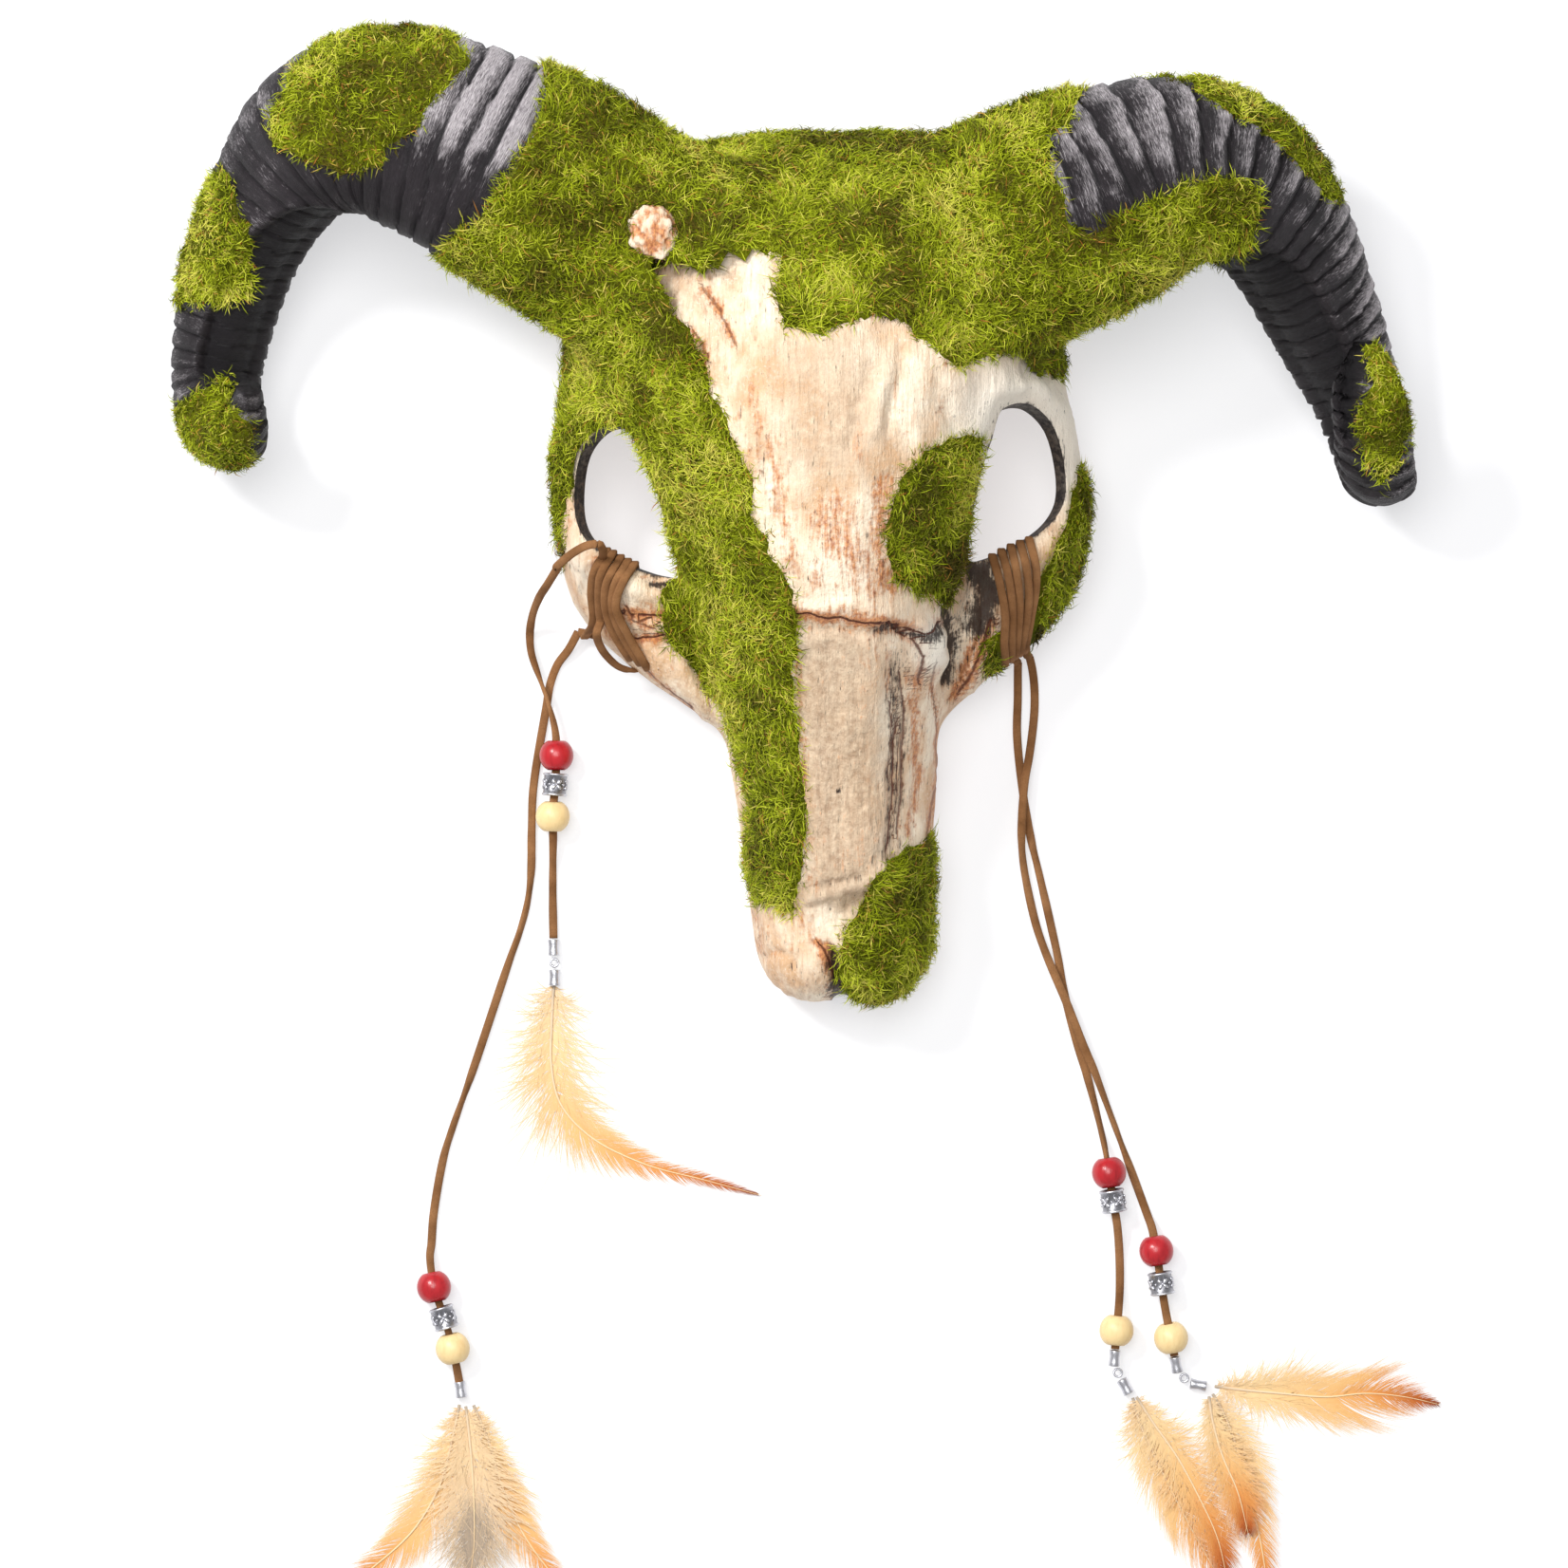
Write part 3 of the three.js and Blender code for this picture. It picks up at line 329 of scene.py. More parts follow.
def turned(u: Array, v: Array) -> tuple[Array, Array]:
    """Skull coordinates to the drawing's x and y."""
    c, s = math.cos(SKULL_TURN), math.sin(SKULL_TURN)
    return u * c - v * s, u * s + v * c


def unturned(x: Array, y: Array) -> tuple[Array, Array]:
    """The drawing's x and y to skull coordinates."""
    c, s = math.cos(SKULL_TURN), math.sin(SKULL_TURN)
    return x * c + y * s, y * c - x * s


def run_along(line: Array) -> Array:
    """Distance along a line to each of its points."""
    lengths = np.linalg.norm(np.diff(line, axis=0), axis=1)
    return np.concatenate([[0], np.cumsum(lengths)])


def unit(vectors: Array) -> Array:
    """Vectors of length 1 along the last axis."""
    return vectors / np.maximum(np.linalg.norm(vectors, axis=-1, keepdims=True), 1e-9)


def part_shift() -> Array:
    """The drawing's offset in the part's frame, in millimetres, from one crimp's place."""
    low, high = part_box("feather_crimp_left_long")
    at, towards = np.array([-105.4, -257.0]), np.array([-103.8, -268.0])
    known = at + unit(towards - at) * 2.3
    middle = (np.array(low) + np.array(high)) / 2 / MM
    return np.array([middle[0] - known[0], middle[1] - known[1], 0.0])


SHIFT = part_shift()


def to_frame(points: Array) -> Array:
    """The drawing's millimetres to metres in the part's frame."""
    return (np.asarray(points, float) + SHIFT) * MM


def linear(red: int, green: int, blue: int) -> tuple[float, float, float, float]:
    """A screen colour of 0 to 255 as a shader colour."""
    def one(level: float) -> float:
        share = level / 255
        return share / 12.92 if share <= 0.04045 else ((share + 0.055) / 1.055) ** 2.4
    return one(red), one(green), one(blue), 1.0


class Value:
    """A shader value that arithmetic operators make nodes from."""

    def __init__(self, shader: "Shader", socket: bpy.types.NodeSocket) -> None:
        self.shader = shader
        self.socket = socket

    def _math(self, operation: str, other: "Value | float") -> "Value":
        """A maths node over this value and another."""
        return self.shader.value("ShaderNodeMath", {"operation": operation}, {0: self, 1: other})

    def __add__(self, other: "Value | float") -> "Value":
        return self._math("ADD", other)

    __radd__ = __add__

    def __sub__(self, other: "Value | float") -> "Value":
        return self._math("SUBTRACT", other)

    def __rsub__(self, other: float) -> "Value":
        return self.shader.value("ShaderNodeMath", {"operation": "SUBTRACT"}, {0: other, 1: self})

    def __mul__(self, other: "Value | float") -> "Value":
        return self._math("MULTIPLY", other)

    def __truediv__(self, other: "Value | float") -> "Value":
        return self._math("DIVIDE", other)

    def clamped(self) -> "Value":
        """This value kept from 0 to 1."""
        return self.shader.value("ShaderNodeClamp", {}, {"Value": self})

    def stretched(self, low: float, high: float) -> "Value":
        """0 at low and 1 at high, kept within."""
        return ((self - low) / (high - low)).clamped()


class Shader:
    """One procedural material, built node by node."""

    def __init__(self, name: str, roughness: float = 0.6, metallic: float = 0.0,
                 specular: float = 0.5) -> None:
        self.material = bpy.data.materials.new(name)
        self.material.use_nodes = True
        self.tree = self.material.node_tree
        self.surface = self.tree.nodes["Principled BSDF"]
        self.surface.inputs["Roughness"].default_value = roughness
        self.surface.inputs["Metallic"].default_value = metallic
        self.surface.inputs["Specular IOR Level"].default_value = specular

    def node(self, kind: str, settings: dict, inputs: dict) -> bpy.types.Node:
        """Makes a node.

        Args:
            kind: the node's type.
            settings: its properties.
            inputs: socket names or numbers with a value, colour or Value each.

        Returns:
            The new node.
        """
        made = self.tree.nodes.new(kind)
        for key, value in settings.items():
            setattr(made, key, value)
        for key, value in inputs.items():
            if isinstance(value, Value):
                self.tree.links.new(value.socket, made.inputs[key])
            else:
                made.inputs[key].default_value = value
        return made

    def value(self, kind: str, settings: dict, inputs: dict, output: "int | str" = 0) -> Value:
        """Makes a node and returns one of its outputs."""
        return Value(self, self.node(kind, settings, inputs).outputs[output])

    def attribute(self, name: str) -> Value:
        """A number kept on the mesh."""
        return self.value("ShaderNodeAttribute", {"attribute_name": name}, {}, "Fac")

    def scaled(self, where: Value, scale: tuple[float, float, float]) -> Value:
        """Coordinates stretched."""
        return self.value("ShaderNodeVectorMath", {"operation": "MULTIPLY"}, {0: where, 1: scale})

    def place(self, scale: tuple[float, float, float] = (1.0, 1.0, 1.0)) -> Value:
        """The object's own coordinates, stretched."""
        return self.scaled(self.value("ShaderNodeTexCoord", {}, {}, "Object"), scale)

    def uv(self, name: str) -> tuple[Value, Value, Value]:
        """A named UV map, its first and its second number."""
        where = self.value("ShaderNodeUVMap", {"uv_map": name}, {}, "UV")
        split = self.node("ShaderNodeSeparateXYZ", {}, {0: where})
        return where, Value(self, split.outputs[0]), Value(self, split.outputs[1])

    def noise(self, where: Value, scale: float, detail: float = 3.0, rough: float = 0.5) -> Value:
        """Noise from 0 to 1."""
        inputs = {"Vector": where, "Scale": scale, "Detail": detail, "Roughness": rough}
        return self.value("ShaderNodeTexNoise", {}, inputs, "Fac")

    def mix(self, share: "Value | float", first: "Value | tuple", second: "Value | tuple") -> Value:
        """Two colours mixed."""
        return self.value("ShaderNodeMix", {"data_type": "RGBA"}, {0: share, 6: first, 7: second},
                          2)

    def ramp(self, share: Value, stops: Sequence[tuple[float, tuple]]) -> Value:
        """A run of colours along a value."""
        made = self.node("ShaderNodeValToRGB", {}, {0: share})
        bar = made.color_ramp.elements
        while len(bar) < len(stops):
            bar.new(0.5)
        for element, (position, colour) in zip(bar, stops):
            element.position = position
            element.color = colour
        return Value(self, made.outputs[0])

    def bump(self, height: Value, distance: float, strength: float = 1.0) -> None:
        """Gives the surface a fine relief, distance in metres."""
        made = self.node("ShaderNodeBump", {}, {"Height": height, "Distance": distance,
                                                "Strength": strength})
        self.tree.links.new(made.outputs[0], self.surface.inputs["Normal"])

    def finish(self, **values: "Value | float | tuple") -> bpy.types.Material:
        """Sets the surface's sockets and returns the material."""
        for key, value in values.items():
            socket = self.surface.inputs[key.replace("_", " ").title()]
            if isinstance(value, Value):
                self.tree.links.new(value.socket, socket)
            else:
                socket.default_value = value
        return self.material


class Finishes:
    """The materials of the mask, each made once."""

    def __init__(self) -> None:
        self.bone = self._bone()
        self.horn = self._horn()
        self.moss = self._moss()
        self.fibre = self._fibre()
        self.suede = self._suede()
        self.red = self._wood("red_wood", (185, 36, 44), (120, 12, 22), 0.28)
        self.cream = self._wood("cream_wood", (240, 212, 156), (218, 180, 122), 0.42)
        self.silver = self._silver()
        self.feather = self._feather()

    def _bone(self) -> bpy.types.Material:
        """Cream cast bone with a lengthwise grain, rust in its hollows and black in its cracks."""
        s = Shader("cast_bone", roughness=0.55, specular=0.35)
        grain = s.noise(s.place((1.0, 0.1, 0.4)), 900, 4, 0.65)
        strokes = s.noise(s.place((1.0, 0.07, 0.3)), 1700, 3, 0.7)
        blotch = s.noise(s.place((1.0, 0.6, 1.0)), 70, 4, 0.6)
        fine = s.noise(s.place(), 420, 5, 0.7)
        speck = s.noise(s.place((1.0, 0.7, 1.0)), 1300, 3, 0.6)
        rust, dark, grey = s.attribute("rust"), s.attribute("dark"), s.attribute("grey")
        colour = s.mix(blotch.stretched(0.36, 0.62), linear(218, 178, 138), linear(252, 235, 210))
        colour = s.mix(grain.stretched(0.5, 0.72) * 0.6, colour, linear(190, 146, 112))
        colour = s.mix(speck.stretched(0.56, 0.7) * 0.45, colour, linear(255, 246, 232))
        plateau = (grey * 1.3 + (fine - 0.5) * 1.4 + (speck - 0.5) * 0.8).stretched(0.15, 0.8)
        colour = s.mix(plateau * 0.88, colour, s.mix(fine.stretched(0.35, 0.65),
                                                     linear(176, 146, 118), linear(226, 202, 172)))
        stain = (rust + (fine - 0.5) * 1.5 + (grain - 0.5) * 1.3).stretched(0.3, 0.78)
        colour = s.mix(stain * 0.85, colour, s.mix(speck.stretched(0.4, 0.6), linear(214, 140, 78),
                                                   linear(164, 84, 34)))
        deep = (dark * 1.35 + (strokes - 0.5) * (3.2 - dark * 2.2)
                + (fine - 0.5) * 1.6).stretched(0.45, 0.95)
        colour = s.mix(s.attribute("pale") * 0.8, colour, linear(255, 248, 234))
        colour = s.mix(deep * 0.94, colour, linear(40, 31, 30))
        wavering = s.attribute("line") + (fine - 0.5) * 1.1
        near = s.value("ShaderNodeMath", {"operation": "ABSOLUTE"}, {0: wavering})
        cut = (1.0 - near.stretched(0.12, 0.42)) * s.attribute("crack")
        colour = s.mix((cut * 1.1).clamped(), colour, linear(92, 42, 22))
        colour = s.mix((s.attribute("wall") * (0.7 + fine * 0.5)).clamped(), colour,
                       linear(34, 28, 27))
        s.bump(grain * 0.7 + fine * 0.7 + strokes * 0.4 + speck * 0.3 - cut * 1.0 - deep * 0.3,
               0.0009, 0.75)
        return s.finish(base_color=colour, roughness=0.42 + fine * 0.3)

    def _horn(self) -> bpy.types.Material:
        """Charcoal horn, dry-brushed with silver on its ribs, with fine lines running round it; the
        silver is partly painted light and the shade attribute is painted shade.
        """
        s = Shader("horn", roughness=0.5, specular=0.35)
        where, _, _ = s.uv("along")
        lines = s.scaled(where, (1.0, 30.0, 1.0))
        streak = s.noise(lines, 8, 5, 0.75)
        hair = s.noise(lines, 19, 4, 0.75)
        patch = s.noise(s.place(), 90, 4, 0.6)
        fine = s.noise(s.place(), 700, 4, 0.7)
        silver = s.attribute("silver")
        # The silver attribute is dry-brushed silver, held to the faces turned up and out as painted
        # light.
        brushed = (silver * 1.1 + (streak - 0.5) * 2.6 + (hair - 0.5) * 2.4 + (patch - 0.5) * 2.2
                   - 0.5).stretched(0.0, 1.1)
        colour = s.mix(patch.stretched(0.3, 0.7), linear(26, 22, 25), linear(46, 40, 44))
        colour = s.mix(hair.stretched(0.5, 0.75) * 0.4, colour, linear(78, 70, 75))
        colour = s.mix(brushed * 0.95, colour, s.mix(hair.stretched(0.4, 0.6),
                                                     linear(128, 120, 124), linear(222, 215, 218)))
        # Painted shade: the shade attribute darkens grooves, faces turned down, the curl's inner
        # face and the tip's hollows.
        colour = s.mix(s.attribute("shade") * 0.85, colour, linear(18, 16, 19))
        s.bump(streak * 0.9 + hair * 0.9 + fine * 0.4, 0.0008, 0.8)
        return s.finish(base_color=colour, roughness=0.4 + fine * 0.25)

    def _moss(self) -> bpy.types.Material:
        """The felted bed that the moss fibres stand in, dark green as painted shade between the
        fibres.
        """
        s = Shader("moss", roughness=0.95, specular=0.1)
        patch = s.noise(s.place(), 55, 3, 0.6)
        fine = s.noise(s.place(), 900, 4, 0.7)
        # Painted shade: the bed's dark greens stand in for the shade between the fibres.
        colour = s.mix(patch.stretched(0.35, 0.65), linear(66, 72, 6), linear(116, 122, 12))
        colour = s.mix(fine.stretched(0.5, 0.75) * 0.6, colour, linear(40, 46, 5))
        s.bump(fine, 0.0012, 1.0)
        return s.finish(base_color=colour)

    def _fibre(self) -> bpy.types.Material:
        """Moss fibres: dark at the root as painted shade, their own shade of green or straw at the
        tip.
        """
        s = Shader("moss_fibre", roughness=0.75, specular=0.2)
        _, kind, rise = s.uv("OFBake")
        tip = s.ramp(kind, [
            (0.0, linear(92, 74, 18)), (0.1, linear(88, 92, 8)), (0.28, linear(136, 146, 12)),
            (0.5, linear(176, 190, 22)), (0.75, linear(214, 220, 66)),
            (0.88, linear(232, 218, 104)), (0.94, linear(204, 160, 66)),
            (1.0, linear(176, 104, 42)),
        ])
        # Painted shade: each fibre darkens from its tip colour to a dark green at its root.
        colour = s.mix(rise.stretched(-0.05, 0.75), linear(52, 56, 4), tip)
        return s.finish(base_color=colour)

    def _suede(self) -> bpy.types.Material:
        """Brown suede with a short nap."""
        s = Shader("suede", roughness=0.95, specular=0.15)
        nap = s.noise(s.place(), 2200, 4, 0.7)
        patch = s.noise(s.place(), 120, 3, 0.5)
        colour = s.mix(patch.stretched(0.3, 0.7), linear(118, 80, 48), linear(156, 112, 74))
        colour = s.mix(nap.stretched(0.45, 0.8) * 0.5, colour, linear(92, 60, 36))
        s.bump(nap, 0.0003, 0.6)
        return s.finish(base_color=colour)

    def _wood(self, name: str, light: tuple, deep: tuple, rough: float) -> bpy.types.Material:
        """Lacquered bead wood with a faint grain."""
        s = Shader(name, roughness=rough, specular=0.5)
        grain = s.noise(s.place((1.0, 0.22, 1.0)), 700, 4, 0.6)
        patch = s.noise(s.place(), 160, 3, 0.5)
        colour = s.mix((grain.stretched(0.45, 0.75) * 0.5 + patch.stretched(0.4, 0.8) * 0.3),
                       linear(*light), linear(*deep))
        s.bump(grain, 0.0002, 0.4)
        return s.finish(base_color=colour)

    def _silver(self) -> bpy.types.Material:
        """Antique silver, black in its recesses."""
        s = Shader("antique_silver", roughness=0.32, metallic=0.95)
        fine = s.noise(s.place(), 1600, 3, 0.6)
        patch = s.noise(s.place(), 500, 3, 0.6)
        recess = s.attribute("recess")
        colour = s.mix(patch.stretched(0.4, 0.75) * 0.35, linear(214, 214, 220),
                       linear(128, 128, 136))
        colour = s.mix((recess * 1.0 + fine * 0.3 - 0.3).clamped(), colour, linear(84, 84, 90))
        s.bump(fine, 0.0002, 0.3)
        return s.finish(base_color=colour, roughness=0.26 + fine * 0.2)

    def _feather(self) -> bpy.types.Material:
        """Soft feather: pale fluff, apricot vane and a burnt orange tip."""
        s = Shader("feather", roughness=0.8, specular=0.15)
        where, run, side = s.uv("OFBake")
        band = s.noise(where, 14, 3, 0.6)
        colour = s.ramp((run + band * 0.16 - 0.08).clamped(), [
            (0.0, linear(150, 136, 122)), (0.06, linear(226, 196, 158)),
            (0.2, linear(236, 206, 156)), (0.5, linear(230, 182, 120)),
            (0.72, linear(216, 146, 80)), (0.9, linear(178, 94, 44)), (1.0, linear(122, 56, 28)),
        ])
        colour = s.mix(side.stretched(0.55, 1.0) * 0.35, colour, linear(250, 232, 204))
        return s.finish(base_color=colour)


@dataclass
class Surface:
    """A grid of points over a form, with the way out at each."""

    points: Array
    normals: Array
    faces: Array

    @property
    def flat_points(self) -> Array:
        """All points in one list."""
        return self.points.reshape(-1, 3)

    @property
    def flat_normals(self) -> Array:
        """All outward ways in one list."""
        return self.normals.reshape(-1, 3)


def grid_faces(rows: int, columns: int, wraps: bool) -> Array:
    """Corner numbers of a grid's faces, its last column joined to the first where it wraps.

    Args:
        rows: the grid's rows.
        columns: the grid's columns.
        wraps: whether it closes on itself.

    Returns:
        Four corner numbers to each face.
    """
    j, i = np.meshgrid(np.arange(rows - 1), np.arange(columns if wraps else columns - 1),
                       indexing="ij")
    nxt = (i + 1) % columns
    quads = np.stack([j * columns + i, j * columns + nxt, (j + 1) * columns + nxt,
                      (j + 1) * columns + i], axis=-1)
    return quads.reshape(-1, 4)


def grid_normals(points: Array, wraps: bool) -> Array:
    """Unit normals of a grid from its neighbours' differences.

    Args:
        points: the grid's points.
        wraps: whether it closes on itself.

    Returns:
        One way to each point.
    """
    along = np.gradient(points, axis=0)
    if wraps:
        across = np.roll(points, -1, axis=1) - np.roll(points, 1, axis=1)
    else:
        across = np.gradient(points, axis=1)
    return unit(np.cross(across, along))


def mesh_object(name: str, points: Array, faces: "Array | list", material: bpy.types.Material,
                nodes: Sequence[str] = (), values: "dict[str, Array] | None" = None,
                face_values: "dict[str, Array] | None" = None,
                uv: "tuple[str, Array] | None" = None) -> bpy.types.Object:
    """A finished piece from points and faces that no spin or extrusion gives.

    Args:
        name: the object's name.
        points: corners in the part's frame, in metres.
        faces: corner numbers of each face.
        material: its finish.
        nodes: CAD nodes that it stands for.
        values: numbers kept on the points, by name.
        face_values: numbers kept on the faces, by name.
        uv: a named flat coordinate of each point.

    Returns:
        The linked object, riding on the mask.
    """
    mesh = bpy.data.meshes.new(name)
    faces = np.asarray(faces)
    corners = faces.shape[1]
    mesh.vertices.add(len(points))
    mesh.vertices.foreach_set("co", np.asarray(points, np.float32).ravel())
    mesh.loops.add(faces.size)
    mesh.loops.foreach_set("vertex_index", faces.astype(np.int32).ravel())
    mesh.polygons.add(len(faces))
    mesh.polygons.foreach_set("loop_start", np.arange(0, faces.size, corners, dtype=np.int32))
    mesh.update(calc_edges=True)
    flat = (face_values or {}).get("flat", np.zeros(len(faces)))
    mesh.polygons.foreach_set("use_smooth", flat < 0.5)
    for key, numbers in (values or {}).items():
        set_attribute(mesh, key, numbers)
    for key, numbers in (face_values or {}).items():
        set_attribute(mesh, key, numbers, "FACE")
    if uv:
        set_uv(mesh, *uv)
    mesh.validate()
    return place_mesh(name, mesh, material, nodes)


def place_mesh(name: str, mesh: bpy.types.Mesh, material: bpy.types.Material,
               nodes: Sequence[str] = ()) -> bpy.types.Object:
    """Links a mesh as a finished piece of the mask.

    Args:
        name: the object's name.
        mesh: its mesh.
        material: its finish.
        nodes: CAD nodes that it stands for.

    Returns:
        The linked object.
    """
    piece = bpy.data.objects.new(name, mesh)
    mesh.materials.append(material)
    bpy.context.scene.collection.objects.link(piece)
    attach(piece, "root")
    if nodes:
        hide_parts(*nodes)
    return piece


def set_attribute(mesh: bpy.types.Mesh, name: str, values: Array, domain: str = "POINT") -> None:
    """Keeps one number to each point, or to each face, of a mesh."""
    layer = mesh.attributes.new(name, "FLOAT", domain)
    layer.data.foreach_set("value", np.asarray(values, np.float32).ravel())


def set_uv(mesh: bpy.types.Mesh, name: str, values: Array) -> None:
    """Keeps a flat coordinate to each point of a mesh, as a UV map.

    Args:
        mesh: the mesh.
        name: the map's name.
        values: two numbers to each point.
    """
    layer = mesh.uv_layers.new(name=name)
    corner = np.zeros(len(mesh.loops), np.int32)
    mesh.loops.foreach_get("vertex_index", corner)
    layer.data.foreach_set("uv", np.asarray(values, np.float32)[corner].ravel())


def bmesh_object(name: str, shape: bmesh.types.BMesh, material: bpy.types.Material,
                 nodes: Sequence[str] = (), smooth: bool = True) -> bpy.types.Object:
    """Turns a bmesh into a finished piece and frees it.

    Args:
        name: the object's name.
        shape: what it is made from.
        material: its finish.
        nodes: CAD nodes that it stands for.
        smooth: shades it smooth.

    Returns:
        The linked object.
    """
    bmesh.ops.recalc_face_normals(shape, faces=shape.faces)
    mesh = bpy.data.meshes.new(name)
    shape.to_mesh(mesh)
    shape.free()
    for polygon in mesh.polygons:
        polygon.use_smooth = smooth
    return place_mesh(name, mesh, material, nodes)


@dataclass(frozen=True)
class Carving:
    """A broad hollow, ledge or swelling of the bone: depth is negative where it stands proud."""

    path: tuple
    width: float
    depth: float
    rust: float = 0.0
    dark: float = 0.0
    grey: float = 0.0
    spread: float = 1.0


@dataclass(frozen=True)
class Crack:
    """A fine line cut in the bone, with the rust and black round it."""

    path: tuple
    strength: float = 1.0
    rust: float = 0.8
    halo: float = 1.8


CARVINGS = (
    Carving(((-12, -31), (0, -33.2), (9, -34), (20, -36), (27, -38.5)), 2.2, -1.3, 0.15),
    Carving(((-12, -36.5), (0, -38.5), (9.4, -39.5), (19, -41.5)), 2.6, 1.3, 0.35, 0.1, 0.4),
    Carving(((14, -38.4), (20, -39.8), (27, -42), (31, -39)), 1.5, 1.5, 0.7, 0.75, 0.0, 1.3),
    Carving(((1.5, -48), (1.5, -108)), 10.5, 1.0, 0.12, 0.0, 1.0, 1.1),
    Carving(((19.6, -50), (19.4, -65.5), (18.2, -81.7), (16.1, -95.1), (13.6, -104.8)), 3.2, 1.5,
            0.3, 0.5, 0.5, 1.2),
    Carving(((17, -44), (18, -56)), 2.2, 0.6, 0.5, 0.2),
    Carving(((26.5, -56), (28.5, -70), (27.5, -86), (24.5, -101)), 3.0, -1.0, 0.1),
    Carving(((23.6, -52), (24.6, -70), (23.4, -88), (20.4, -100)), 1.5, 0.5, 0.75, 0.1),
    Carving(((-9.6, -45), (-9.2, -64), (-9, -91), (-8.4, -112)), 1.8, 0.7, 0.45),
    Carving(((-8.4, -115), (-1.9, -114.8), (6, -112.6), (12, -107)), 2.0, -1.2, 0.0),
    Carving(((-7, -112.6), (-1.9, -112), (5, -110)), 1.4, 0.7, 0.2, 0.35),
    Carving(((29.8, -41.5), (29.6, -48.5)), 3.6, -3.6, 0.0),
    Carving(((-33.5, 54), (-32, 50)), 6.0, -2.4),
    Carving(((-22, 66), (-20, 52), (-17, 36)), 3.0, 1.2, 0.15),
    Carving(((-30, 59), (-26.5, 54), (-23.5, 46)), 1.8, 1.1, 0.45, 0.1, 0.0, 0.8),
    Carving(((-40, 47.5), (-36, 44), (-31, 39.5)), 1.8, 1.2, 0.9, 0.3, 0.0, 1.3),
    Carving(((-43.5, 80), (-43.5, 69)), 5.6, -1.4, 0.4),
    Carving(((16, 34), (11.5, 22), (9.5, 13)), 2.2, 1.2, 0.1, 0.0, 0.2),
    Carving(((21, 34), (17.5, 24), (15, 15)), 2.4, -1.3),
    Carving(((25, 38), (22.5, 27), (19, 16)), 1.8, 1.1, 0.2),
    Carving(((2, -8), (6, -18), (12, -26)), 8.0, 0.4, 0.62, 0.1),
    Carving(((17, 0), (15.5, -18), (19, -28)), 4.0, 0.5, 0.7, 0.1),
    Carving(((-14, 14), (-12, -4), (-9, -24)), 2.6, 0.9, 0.5, 0.1, 0.0, 1.3),
    Carving(((-18, 32), (-16, 18)), 2.0, 0.7, 0.5),
    Carving(((-3.9, -64.3), (-3.8, -64.4)), 0.7, 1.0, 0.0, 1.0),
    Carving(((1.4, -83), (1.5, -83.2)), 0.7, 0.8, 0.3, 1.0),
    Carving(((35, 32.2), (35.1, 32.1)), 0.7, 0.9, 0.0, 1.0),
    Carving(((-62, -27), (-54, -32), (-46, -36)), 2.6, -1.6),
    Carving(((-62, -34), (-52, -42), (-42, -52), (-36, -58)), 3.4, -1.4),
    Carving(((-50, -22.5), (-44, -24)), 1.6, 1.6, 0.3, 0.9),
    Carving(((44, -22), (46, -30), (43, -40)), 4.2, 1.3, 0.4, 1.0, 0.0, 1.15),
    Carving(((35, -34), (36, -44), (34, -54)), 1.8, 1.6, 0.4, 1.0, 0.0, 1.1),
    Carving(((50, -34), (46, -46), (40, -56)), 3.2, -1.6, 0.1),
    Carving(((43, -38), (40, -48), (36, -58)), 1.2, 0.9, 0.9, 0.4, 0.0, 1.4),
    Carving(((-28, -62), (-26.5, -80), (-25, -95)), 1.6, 0.8, 0.6, 0.35),
    Carving(((-26, -108), (-25, -120), (-25.5, -130)), 1.8, 0.9, 0.5, 0.3),
    Carving(((-20, -114), (-12, -121), (-10, -130)), 2.6, 0.9, 0.35, 0.0, 0.2),
    Carving(((-3.2, -132), (-2.4, -139), (-1.5, -146)), 2.6, 2.4, 0.8, 0.9, 0.0, 1.2),
    Carving(((-6, -130), (-3, -134)), 3.0, 0.8, 0.9, 0.3),
    Carving(((34, 30), (38, 15), (40, 4)), 2.2, 0.8, 0.35, 0.0, 0.2),
    Carving(((-14, -138), (-12, -139)), 7.0, -2.4),
    Carving(((10, -137), (10.2, -137.2)), 8.0, -1.6),
    Carving(((-24, -132), (-20, -131), (-15, -133)), 1.8, 1.0, 0.3, 0.2),
    Carving(((52, 31), (60, 28), (67, 20)), 3.6, -1.8),
)
